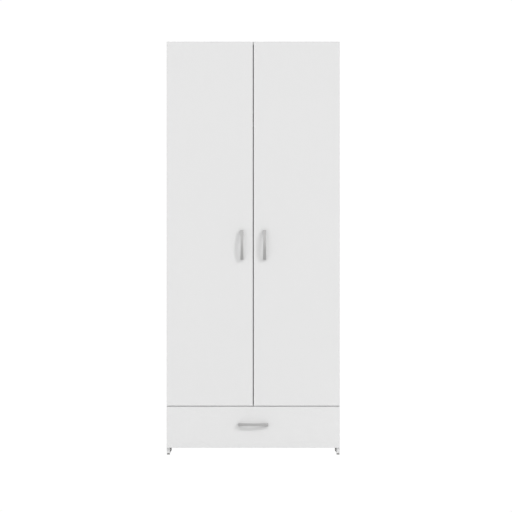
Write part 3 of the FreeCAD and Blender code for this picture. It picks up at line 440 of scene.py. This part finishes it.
def finish_of(name):
    """The shared finish of that name, made when it is first asked for."""
    if name not in FINISHES:
        paint = colours()
        makers = dict(
            satin=satin_finish,
            chrome=chrome_finish,
            enamel=enamel_finish,
            beech=beech_finish,
            nickel=lambda: metal_finish("nickel_plate", paint.nickel, 0.24, 700.0,
                                        0.015 * MM),
            zinc=lambda: metal_finish("zinc_plate", paint.zinc, 0.32, 900.0, 0.02 * MM),
            cast=lambda: metal_finish("die_cast_zinc", paint.cast, 0.42, 1100.0, 0.05 * MM),
            nylon=lambda: plastic_finish("white_nylon", paint.nylon, 0.38),
            grey=lambda: plastic_finish("grey_plastic", paint.grey, 0.45),
            strip=lambda: plastic_finish("white_plastic", paint.strip, 0.4),
            clear=lambda: plastic_finish("soft_plastic", paint.clear, 0.3,
                                         Transmission_Weight=0.35),
        )
        FINISHES[name] = makers[name]()
    return FINISHES[name]


# ------------------------------------------------------------------ modelling helpers
def nothing_selected():
    bpy.ops.object.select_all(action="DESELECT")


def only(piece):
    nothing_selected()
    piece.select_set(True)
    bpy.context.view_layer.objects.active = piece


def named(piece, name):
    piece.name = name
    piece.data.name = name
    return piece


def settle(piece):
    """Brings place, turn and size into the mesh."""
    only(piece)
    bpy.ops.object.transform_apply(location=True, rotation=True, scale=True)
    return piece


def block(name, low, high):
    """A cuboid between two corners, the start of most pieces."""
    nothing_selected()
    low, high = Vector(low), Vector(high)
    bpy.ops.mesh.primitive_cube_add(size=1.0, location=(low + high) / 2, scale=high - low)
    return settle(named(bpy.context.object, name))


def pick(piece, kind, test):
    """Goes into edit mode with only the elements of that kind that pass the test.

    test gets the middle and the normal of a face, both ends of an edge, or a point.
    """
    only(piece)
    mesh = piece.data
    for group in (mesh.vertices, mesh.edges, mesh.polygons):
        group.foreach_set("select", [False] * len(group))
    points = mesh.vertices
    if kind == "FACE":
        for item in mesh.polygons:
            item.select = bool(test(item.center, item.normal))
    elif kind == "EDGE":
        for item in mesh.edges:
            item.select = bool(test(*(points[index].co for index in item.vertices)))
    else:
        for item in points:
            item.select = bool(test(item.co))
    bpy.ops.object.mode_set(mode="EDIT")
    bpy.ops.mesh.select_mode(type=kind)


def done():
    bpy.ops.object.mode_set(mode="OBJECT")


def with_modifier(piece, kind, **attributes):
    """Adds a modifier and applies it."""
    only(piece)
    modifier = piece.modifiers.new(kind.lower(), kind)
    for key, value in attributes.items():
        setattr(modifier, key, value)
    bpy.ops.object.modifier_apply(modifier=modifier.name)


def rounded(piece, width, segments=3, angle=35):
    """Rounds the sharp edges and smooths the shading."""
    with_modifier(piece, "BEVEL", width=width, segments=segments, limit_method="ANGLE",
                  angle_limit=math.radians(angle))
    only(piece)
    bpy.ops.object.shade_smooth_by_angle(angle=math.radians(angle))
    with_modifier(piece, "WEIGHTED_NORMAL", keep_sharp=True)
    return piece


def copied(piece, name, turn=(0, 0, 0), move=(0, 0, 0)):
    """A copy with a mesh of its own, turned about the origin and then moved."""
    only(piece)
    bpy.ops.object.duplicate(linked=False)
    copy = named(bpy.context.object, name)
    copy.rotation_euler = turn
    copy.location = move
    return settle(copy)


def fitted(piece, body, slot, finish, *nodes):
    """Finishes a new piece and puts it on its body in place of its CAD nodes."""
    piece.data.materials.clear()
    piece.data.materials.append(finish_of(finish).material)
    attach(piece, body)
    if nodes:
        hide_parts(*nodes)
    return piece


# ------------------------------------------------------------------ shared shapes
def bar(name, low, high):
    """A cuboid between two corners in millimetres."""
    return block(name, Vector(low) * MM, Vector(high) * MM)


def disc(name, radius, low, high, at=(0, 0), sides=48):
    """A cylinder along Z, in millimetres."""
    nothing_selected()
    bpy.ops.mesh.primitive_cylinder_add(
        vertices=sides, radius=radius * MM, depth=(high - low) * MM,
        location=Vector((at[0], at[1], (low + high) / 2)) * MM)
    return settle(named(bpy.context.object, name))


# tests of a face for pick
def facing_up(middle, normal):
    return normal.z > 0.9


def facing_down(middle, normal):
    return normal.z < -0.9


def drawn(piece, test, inset, *steps):
    """Insets the faces that pass the test, then draws them out step by step.

    Each step is a rise along Z and the size of the end of it against its start.
    """
    pick(piece, "FACE", test)
    if inset:
        bpy.ops.mesh.inset(thickness=inset * MM)
    for rise, size in steps:
        bpy.ops.mesh.extrude_region_move(
            TRANSFORM_OT_translate={"value": (0, 0, rise * MM)})
        bpy.ops.transform.resize(value=(size, size, 1), center_override=(0, 0, 0))
    done()


def combined(piece, operation, *others):
    """Takes other pieces from a piece, or adds them to it, and removes them."""
    for other in others:
        with_modifier(piece, "BOOLEAN", object=other, operation=operation, solver="EXACT")
        bpy.data.objects.remove(other)
    return piece


def carved(piece, *tools):
    return combined(piece, "DIFFERENCE", *tools)


def welded(piece, *others):
    return combined(piece, "UNION", *others)


def joined(pieces, name):
    """One object of several separate bodies."""
    nothing_selected()
    for piece in pieces:
        piece.select_set(True)
    bpy.context.view_layer.objects.active = pieces[0]
    if len(pieces) > 1:
        bpy.ops.object.join()
    return named(pieces[0], name)


def stands_for(piece, node, finish):
    """Puts a new piece, with the given finish, on the body of the node it replaces, and
    hides that node.
    """
    return fitted(piece, frame["nodes"][node]["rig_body"], SLOTS[node], finish, node)


def solids(node):
    """The corners of the box round each separate solid of a CAD node."""
    mesh = frame["nodes"][node].data
    keys = [tuple(round(part / MM, 2) for part in point.co) for point in mesh.vertices]
    leader = {key: key for key in keys}

    def find(key):
        while leader[key] != key:
            leader[key] = leader[leader[key]]
            key = leader[key]
        return key

    for face in mesh.polygons:
        first = find(keys[face.vertices[0]])
        for index in face.vertices[1:]:
            leader[find(keys[index])] = first
    groups = {}
    for key in leader:
        groups.setdefault(find(key), []).append(key)
    boxes = [tuple(Vector(end(point[axis] for point in points) for axis in range(3)) * MM
                   for end in (min, max)) for points in groups.values()]
    return sorted(boxes, key=lambda box: tuple(round(part, 4) for part in box[0]))


def way_of(box, ways):
    """The signed axis that the ways give for the long side of a box."""
    span = box[1] - box[0]
    axis = max("xyz", key=lambda letter: span[AXES[letter]] if letter in ways else 0)
    sign = ways[axis]
    if sign in ("in", "out"):
        sign = "+" if (box[0].x > 0) == (sign == "out") else "-"
    return sign + axis


def end_of(box, way):
    """The middle of the face of a box on that side."""
    place = (box[0] + box[1]) / 2
    axis = AXES[way[1]]
    place[axis] = box[1 if way[0] == "+" else 0][axis]
    return place


def spread(node, finish, ways, make):
    """Models each kind of solid of a node once and puts a copy on every one.

    make gets the solid's length and width in millimetres, and models it with its end at
    the origin and its body down -Z.
    """
    models, copies = {}, []
    for box in solids(node):
        way = way_of(box, ways)
        span = (box[1] - box[0]) / MM
        long = span[AXES[way[1]]]
        wide = max(span[number] for number in range(3) if number != AXES[way[1]])
        kind = (round(long, 1), round(wide, 1))
        if kind not in models:
            models[kind] = make(long, wide)
        copies.append(copied(models[kind], node + "_copy", POINTING[way], end_of(box, way)))
    for model in models.values():
        bpy.data.objects.remove(model)
    return stands_for(joined(copies, "round_" + node), node, finish)


def softened(node, finish, width, segments=2):
    """A merged copy of a CAD node with its edges rounded off by width millimetres."""
    only(frame["nodes"][node])
    bpy.ops.object.duplicate(linked=False)
    piece = named(bpy.context.object, "soft_" + node)
    for key in list(piece.keys()):
        del piece[key]
    piece.parent = None
    pick(piece, "VERT", lambda point: True)
    bpy.ops.mesh.remove_doubles(threshold=0.002 * MM)
    bpy.ops.mesh.dissolve_limited(angle_limit=math.radians(0.5))
    done()
    rounded(piece, width * MM, segments, angle=40)
    return stands_for(piece, node, finish)


# ------------------------------------------------------------------ screws and cams
def crossed(piece, radius, depth):
    """Cuts a cross recess into the top of a model at the origin."""
    for turn in (0, 90):
        blade = bar("blade", (-0.6 * radius, -0.14 * radius, -depth),
                    (0.6 * radius, 0.14 * radius, 1))
        pick(blade, "FACE", facing_down)
        bpy.ops.transform.resize(value=(0.5, 0.7, 1), center_override=(0, 0, 0))
        done()
        carved(piece, copied(blade, "blade_turned", (0, 0, math.radians(turn))))
        bpy.data.objects.remove(blade)
    return piece


def screw_maker(head, shaft):
    """Gives the function that models a screw with that head height and shaft radius."""
    def make(long, wide):
        radius = wide / 2
        reach = long - head
        screw = disc("screw_model", radius, -head, -head * 0.55, sides=32)
        drawn(screw, facing_up, 0, (head * 0.3, 0.9), (head * 0.17, 0.8), (head * 0.08, 0.7))
        drawn(screw, facing_down, radius - shaft, (-reach * 0.8, 1), (-reach * 0.2, 0.25))
        crossed(screw, radius, head * 0.8)
        return rounded(screw, 0.1 * MM, 2)
    return make


def model_cam(long, wide):
    """A die-cast cam: a chamfered disc with a raised rim, a cross recess and an arrow."""
    radius = wide / 2
    cam = disc("cam_model", radius, -long, -0.5, sides=40)
    drawn(cam, facing_up, 0, (0.5, 0.94))
    drawn(cam, facing_up, radius * 0.14, (-0.35, 0.98))
    arrow = bar("arrow", (radius * 0.5, -0.7, -0.9), (radius * 0.72, 0.7, 1))
    pick(arrow, "FACE", lambda middle, normal: normal.x > 0.9)
    bpy.ops.transform.resize(value=(1, 0.1, 1), center_override=(0, 0, 0))
    done()
    carved(cam, arrow)
    crossed(cam, radius * 0.8, min(2.6, long * 0.5))
    return rounded(cam, 0.12 * MM, 2)


def model_nail(long, wide):
    """A wire nail with a flat chamfered head and a drawn point."""
    head, shaft = 0.8, 0.75
    reach = long - head
    nail = disc("nail_model", wide / 2, -head, -0.3, sides=16)
    drawn(nail, facing_up, 0, (0.3, 0.85))
    drawn(nail, facing_down, wide / 2 - shaft, (-reach * 0.85, 1), (-reach * 0.15, 0.2))
    return rounded(nail, 0.06 * MM, 1)


# head height and shaft radius in millimetres, and which way the head points on each axis
SCREWS = dict(
    euro_screws=(1.8, 2.5, dict(x="in")),
    handle_screws_left=(2.4, 2.0, dict(y="+")),
    handle_screws_right=(2.4, 2.0, dict(y="+")),
    drawer_handle_screws=(2.4, 2.0, dict(y="+")),
    hinge_cup_screws_left=(1.6, 1.75, dict(y="+")),
    hinge_cup_screws_right=(1.6, 1.75, dict(y="+")),
    wall_bracket_screws=(1.6, 1.75, dict(z="-")),
    drawer_screws=(1.6, 1.75, dict(x="out", z="-")))


class WARDROBE_OT_screws(bpy.types.Operator):
    """Models the cross-headed screws and the nails"""
    bl_idname = "wardrobe.screws"
    bl_label = "Screws and nails"

    def execute(self, context):
        for node, (head, shaft, ways) in SCREWS.items():
            spread(node, "zinc", ways, screw_maker(head, shaft))
        spread("back_panel_nails", "zinc", dict(y="+"), model_nail)
        return {"FINISHED"}


class WARDROBE_OT_cams(bpy.types.Operator):
    """Models the cams that lock the boards together"""
    bl_idname = "wardrobe.cams"
    bl_label = "Cams"

    def execute(self, context):
        spread("carcass_cams", "cast", dict(z="-"), model_cam)
        spread("drawer_cams", "cast", dict(x="in"), model_cam)
        return {"FINISHED"}


# ------------------------------------------------------------------ hinges
# millimetres: from a cup's centre to the line of its screws, and from the rear end of an
# arm to its two adjusting screws
CUP_SCREW_X = 5
SET_SCREWS = (9, 33)


def model_cup():
    """A hollow hinge cup, its flange on z = 0, with x away from the door's edge."""
    pot, wall = sizes().cup_radius / MM, sizes().cup_wall / MM
    depth, floor, sheet, rim, edge_room = 13.0, 0.8, 1, 2, 1.5
    lobe, lobe_y, wing = 8, 22.5, (-3, 13)
    slot = 5
    cheek_x, cheek_thick, cheek_top = (-15, -9.5), 2.6, -3
    flange = disc("flange", pot + rim, 0, sheet, sides=64)
    welded(flange, bar("wings", (wing[0], -lobe_y, 0), (wing[1], lobe_y, sheet)),
           *(disc("lobe", lobe, 0, sheet, at=(CUP_SCREW_X, y), sides=40)
             for y in (-lobe_y, lobe_y)))
    carved(flange, bar("trim", (-40, -40, -1), (edge_room - pot, 40, 2)))
    cup = disc("cup_model", pot, -depth, sheet / 2, sides=64)
    pick(cup, "FACE", facing_down)
    bpy.ops.mesh.bevel(offset=1.6 * MM, segments=4, affect="EDGES")
    done()
    welded(cup, flange)
    carved(cup, disc("hollow", pot - wall, floor - depth, 3, sides=64))
    welded(cup, *(bar("cheek", (cheek_x[0], low, floor / 2 - depth),
                      (cheek_x[1], low + cheek_thick, cheek_top))
                  for low in (-slot - 2.8, slot + 0.2)))
    carved(cup, bar("arm_way", (-16.9, -slot, floor - depth), (0, slot, 3)),
           bar("arm_mouth", (-40, -slot, -0.01), (-12, slot, 3)))
    return rounded(cup, 0.2 * MM, 2)


def model_set_screw():
    """The crown of an adjusting screw, its top at the origin."""
    crown = disc("set_screw_model", 3.0, -1.5, -0.6, sides=32)
    drawn(crown, facing_up, 0, (0.35, 0.92), (0.25, 0.8))
    crossed(crown, 2.6, 1.0)
    return rounded(crown, 0.1 * MM, 2)


class WARDROBE_OT_hinges(bpy.types.Operator):
    """Models the cups, arms, plates and pins of the six concealed hinges"""
    bl_idname = "wardrobe.hinges"
    bl_label = "Hinges"

    def execute(self, context):
        cup, set_screw = model_cup(), model_set_screw()
        for side in SIDES:
            out = -1 if side == "left" else 1
            turn = (math.radians(-90), math.radians(180 * (side == "right")), 0)
            node = "hinge_cups_" + side
            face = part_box("door_" + side)[1].y
            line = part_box("hinge_cup_screws_" + side)
            x = (line[0].x + line[1].x) / 2 + CUP_SCREW_X * MM * out
            cups = [copied(cup, "cup_copy", turn, (x, face, (low.z + high.z) / 2))
                    for low, high in solids(node)]
            stands_for(joined(cups, "pressed_" + node), node, "nickel")
            node = "hinge_arms_" + side
            softened(node, "nickel", 0.5, 3)
            way = "+x" if side == "left" else "-x"
            crowns = []
            for low, high in solids(node):
                place = end_of((low, high), way)
                for back in SET_SCREWS:
                    place.y = high.y - back * MM
                    crowns.append(copied(set_screw, "crown", POINTING[way], place))
            stands_for(joined(crowns, "set_screws_" + side), node, "zinc")
            softened("hinge_plates_" + side, "nickel", 0.35, 3)
            softened("hinge_pins_" + side, "zinc", 0.15)
        bpy.data.objects.remove(cup)
        bpy.data.objects.remove(set_screw)
        return {"FINISHED"}


# ------------------------------------------------------------------ rollers and runners
def wheel_maker(node):
    """Gives the function that models a nylon wheel with the bore of that node's."""
    middle = (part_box(node)[0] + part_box(node)[1]) / 2
    bore = min(math.hypot(point.co.y - middle.y, point.co.z - middle.z)
               for point in frame["nodes"][node].data.vertices) / MM

    def make(long, wide):
        radius, hub = wide / 2, bore + 1.4
        dimple, dimples = 0.8, 5
        wheel = disc("wheel_model", radius, -long, 0, sides=64)
        for test, way in ((facing_up, 1), (facing_down, -1)):
            # the web is sunk below the tyre, and the hub stands up again in its middle
            drawn(wheel, test, radius * 0.2, (-0.9 * way, 0.94))
            pick(wheel, "FACE", lambda middle, normal: test(middle, normal)
                 and math.hypot(middle.x, middle.y) < 0.01 * MM)
            bpy.ops.mesh.inset(thickness=(radius * 0.75 - hub) * MM)
            bpy.ops.mesh.extrude_region_move(
                TRANSFORM_OT_translate={"value": (0, 0, 0.8 * way * MM)})
            done()
        # a shallow groove round the tread
        pick(wheel, "EDGE", lambda a, b: a.z * b.z >= 0 and abs(a.z - b.z) > 0.9 * long * MM)
        bpy.ops.mesh.subdivide(number_cuts=4)
        done()
        pick(wheel, "VERT", lambda point: abs(point.z + long / 2 * MM) < 0.05 * MM)
        bpy.ops.transform.resize(value=(0.965, 0.965, 1), center_override=(0, 0, 0))
        done()
        carved(wheel, disc("bore", bore, -long - 1, 1, sides=40))
        ring = (radius * 0.78 + hub) / 2
        turns = [math.radians(360 / dimples * step) for step in range(dimples)]
        carved(wheel, *[disc("dimple", dimple, -2.2, 1, sides=16,
                             at=(ring * math.cos(turn), ring * math.sin(turn)))
                        for turn in turns])
        return rounded(wheel, 0.25 * MM, 2)
    return make


class WARDROBE_OT_runners(bpy.types.Operator):
    """Models the roller runners of the drawer and their grooved wheels"""
    bl_idname = "wardrobe.runners"
    bl_label = "Runners"

    def execute(self, context):
        for side in SIDES:
            softened("cabinet_runner_" + side, "enamel", 0.25, 3)
            softened("drawer_runner_" + side, "enamel", 0.25, 3)
            spread("cabinet_wheel_" + side, "nylon", dict(x="in"),
                   wheel_maker("cabinet_wheel_" + side))
            spread("drawer_wheel_" + side, "nylon", dict(x="out"),
                   wheel_maker("drawer_wheel_" + side))
        return {"FINISHED"}


# ------------------------------------------------------------------ rail, shelf, feet
class WARDROBE_OT_rail(bpy.types.Operator):
    """Models the chromed hanging rail and its two cradles"""
    bl_idname = "wardrobe.rail"
    bl_label = "Hanging rail"

    def execute(self, context):
        softened("hanging_rail", "chrome", 0.3)
        for side in SIDES:
            softened("rail_bracket_" + side, "cast", 0.8, 4)
        return {"FINISHED"}


class WARDROBE_OT_small_fittings(bpy.types.Operator):
    """Models shelf supports, wall brackets, floor glides, bumpers and the back strip"""
    bl_idname = "wardrobe.small_fittings"
    bl_label = "Small fittings"

    def execute(self, context):
        softened("shelf_supports", "zinc", 0.7, 3)
        softened("floor_glides", "grey", 0.9, 4)
        softened("door_buffers", "clear", 0.6, 4)
        softened("back_joint_strip", "strip", 0.35, 3)
        for side in SIDES:
            softened("wall_bracket_" + side, "zinc", 0.4, 3)
        return {"FINISHED"}


# ------------------------------------------------------------------ handles
def model_handle():
    """A waisted bow handle, upright at the origin with its feet on y = 0."""
    size = sizes()
    low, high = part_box("door_handle_left")
    span = high - low
    half, reach, tall = span.x / 2, span.y, span.z / 2
    bow = reach - size.handle_shoulder
    radius = (tall ** 2 + bow ** 2) / (2 * bow)
    pinch = half - size.handle_waist / 2
    waist_radius = (tall ** 2 + pinch ** 2) / (2 * pinch)
    piece = block("handle_model", (-half, -reach, -tall),
                  (half, size.handle_thick - reach, tall))
    rings = round(2 * tall / size.handle_step)
    pick(piece, "EDGE", lambda a, b: abs(a.z - b.z) > tall)
    bpy.ops.mesh.subdivide(number_cuts=rings - 1)
    done()
    for ring in range(rings + 1):
        z = -tall + ring * size.handle_step
        drop = radius - math.sqrt(radius ** 2 - z ** 2)
        widen = waist_radius - math.sqrt(waist_radius ** 2 - z ** 2)
        narrow = (half - pinch + widen) / half
        pick(piece, "VERT", lambda point: abs(point.z - z) < size.handle_step / 4)
        bpy.ops.transform.resize(value=(narrow, 1, 1), center_override=(0, 0, 0))
        bpy.ops.transform.translate(value=(0, drop, 0))
        done()
    foot_from = tall - size.handle_foot
    pick(piece, "FACE", lambda middle, normal: normal.y > 0.7 and abs(middle.z) > foot_from)
    bpy.ops.mesh.extrude_region_move(TRANSFORM_OT_translate={"value": (0, reach / 4, 0)})
    bpy.ops.transform.resize(value=(1, 0, 1), center_override=(0, 0, 0))
    done()
    return rounded(piece, size.handle_round, segments=4)


class WARDROBE_OT_handles(bpy.types.Operator):
    """Models the three bow handles in satin metal"""
    bl_idname = "wardrobe.handles"
    bl_label = "Handles"

    def execute(self, context):
        model = model_handle()
        places = (("door_handle_left", "left_door", (0, 0, 0)),
                  ("door_handle_right", "right_door", (0, 0, 0)),
                  ("drawer_handle", "drawer", (0, math.radians(90), 0)))
        for node, body, turn in places:
            low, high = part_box(node)
            middle = (low + high) / 2
            copy = copied(model, "bow_" + node, turn, (middle.x, high.y, middle.z))
            fitted(copy, body, "satin_nickel", "satin", node)
        bpy.data.objects.remove(model)
        return {"FINISHED"}


# ------------------------------------------------------------------ boards and backs
BOARDS = dict(
    side_panel_left=("x", "-y +z"), side_panel_right=("x", "-y +z"),
    top_panel=("z", "-y"), drawer_deck=("z", "-y"), bottom_panel=("z", "-y"),
    hat_shelf=("z", "-y"),
    door_left=("y", "-x +x -z +z"), door_right=("y", "-x +x -z +z"),
    drawer_front=("y", "-x +x -z +z"),
    drawer_side_left=("x", "+z"), drawer_side_right=("x", "+z"), drawer_back=("y", "+z"))
BACKS = dict(back_panel_left=("-", "y"), back_panel_right=("-", "y"),
             drawer_bottom=("+", "z"))
HIDDEN = dict(zinc="carcass_cam_bolts drawer_cam_bolts",
              beech="carcass_dowels drawer_dowels")


class WARDROBE_OT_boards(bpy.types.Operator):
    """Finishes the melamine boards and the hardboard"""
    bl_idname = "wardrobe.boards"
    bl_label = "Boards"

    def execute(self, context):
        for node, (thick, banded) in BOARDS.items():
            cad_finish(node, board_finish(node, thick, banded))
        for node, (white_side, thick) in BACKS.items():
            cad_finish(node, hardboard_finish(node, white_side, thick))
        return {"FINISHED"}


class WARDROBE_OT_fittings(bpy.types.Operator):
    """Finishes the bolts and dowels inside the boards, which keep their CAD shape"""
    bl_idname = "wardrobe.fittings"
    bl_label = "Bolts and dowels"

    def execute(self, context):
        for name, nodes in HIDDEN.items():
            for node in nodes.split():
                cad_finish(node, finish_of(name))
        return {"FINISHED"}


# ------------------------------------------------------------------ stage
def seen_only(tree):
    """1 where the camera looks straight at a surface, 0 for its light on the object."""
    return tree.nodes.new("ShaderNodeLightPath").outputs["Is Camera Ray"]


def make_world(white):
    """A white surround that casts an even light."""
    world = bpy.data.worlds.new("studio_white")
    world.use_nodes = True
    tree = world.node_tree
    background = tree.nodes["Background"]
    background.inputs["Color"].default_value = (1, 1, 1, 1)
    strength = tree.nodes.new("ShaderNodeMapRange")
    strength.inputs["To Min"].default_value = studio().sky
    strength.inputs["To Max"].default_value = white
    tree.links.new(seen_only(tree), strength.inputs["Value"])
    tree.links.new(strength.outputs[0], background.inputs["Strength"])
    return world


def make_floor(white):
    """White paper on the floor, exposed so that it shows no shade."""
    nothing_selected()
    size = studio().floor_size
    bpy.ops.mesh.primitive_plane_add(size=size, location=(0, 0, -0.1 * MM))
    floor = settle(bpy.context.object)
    floor.name = "studio_floor"
    material = bpy.data.materials.new("floor_white")
    material.use_nodes = True
    tree = material.node_tree
    tree.nodes.remove(tree.nodes["Principled BSDF"])
    paper = tree.nodes.new("ShaderNodeBsdfDiffuse")
    paper.inputs["Color"].default_value = (studio().paper,) * 3 + (1.0,)
    glow = tree.nodes.new("ShaderNodeEmission")
    glow.inputs["Strength"].default_value = white
    both = tree.nodes.new("ShaderNodeMixShader")
    tree.links.new(seen_only(tree), both.inputs[0])
    tree.links.new(paper.outputs[0], both.inputs[1])
    tree.links.new(glow.outputs[0], both.inputs[2])
    tree.links.new(both.outputs[0], tree.nodes["Material Output"].inputs["Surface"])
    floor.data.materials.append(material)


def make_lamp(name, strength, width, azimuth, elevation):
    light = bpy.data.lights.new(name, "SUN")
    light.energy = strength
    light.angle = math.radians(width)
    lamp = bpy.data.objects.new(name, light)
    bpy.context.scene.collection.objects.link(lamp)
    lamp.rotation_euler = (math.radians(90 - elevation), 0, math.radians(azimuth))


def make_camera():
    setup = studio()
    view = bpy.data.cameras.new("front_camera")
    view.lens = setup.lens
    view.clip_end = setup.floor_size
    camera = bpy.data.objects.new("front_camera", view)
    bpy.context.scene.collection.objects.link(camera)
    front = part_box("door_left")[0].y
    camera.location = (setup.camera_x, front - setup.distance, setup.camera_z)
    camera.rotation_euler = (math.radians(90), 0, 0)
    return camera


class WARDROBE_OT_stage(bpy.types.Operator):
    """Sets up the white floor, the soft light and the camera"""
    bl_idname = "wardrobe.stage"
    bl_label = "Stage"

    def execute(self, context):
        white = 1.02
        scene = context.scene
        scene.world = make_world(white)
        make_floor(white)
        for name, facts in LAMPS.items():
            make_lamp(name, *facts)
        scene.camera = make_camera()
        scene.view_settings.view_transform = "Standard"
        scene.view_settings.look = "None"
        return {"FINISHED"}


# ------------------------------------------------------------------ add-on
STEPS = (WARDROBE_OT_boards, WARDROBE_OT_fittings, WARDROBE_OT_handles, WARDROBE_OT_hinges,
         WARDROBE_OT_screws, WARDROBE_OT_cams, WARDROBE_OT_runners, WARDROBE_OT_rail,
         WARDROBE_OT_small_fittings, WARDROBE_OT_stage)
GROUPS = dict(wardrobe_sizes=WardrobeSizes, wardrobe_colours=WardrobeColours,
              wardrobe_studio=WardrobeStudio)


class WARDROBE_PT_panel(bpy.types.Panel):
    """Lists the steps and the settings of the wardrobe"""
    bl_idname = "WARDROBE_PT_panel"
    bl_label = "Wardrobe"
    bl_space_type = "VIEW_3D"
    bl_region_type = "UI"
    bl_category = "Wardrobe"

    def draw(self, context):
        for step in STEPS:
            self.layout.operator(step.bl_idname)
        for name, group in GROUPS.items():
            area = self.layout.box()
            area.label(text=group.__doc__)
            for prop in group.__annotations__:
                area.prop(getattr(context.scene, name), prop)


def register():
    for item in (*GROUPS.values(), *STEPS, WARDROBE_PT_panel):
        bpy.utils.register_class(item)
    for name, group in GROUPS.items():
        setattr(bpy.types.Scene, name, PointerProperty(type=group))


def unregister():
    for name in GROUPS:
        delattr(bpy.types.Scene, name)
    for item in reversed((*GROUPS.values(), *STEPS, WARDROBE_PT_panel)):
        bpy.utils.unregister_class(item)


def main():
    register()
    for step in STEPS:
        category, name = step.bl_idname.split(".")
        getattr(getattr(bpy.ops, category), name)()


if __name__ == "__main__":
    main()
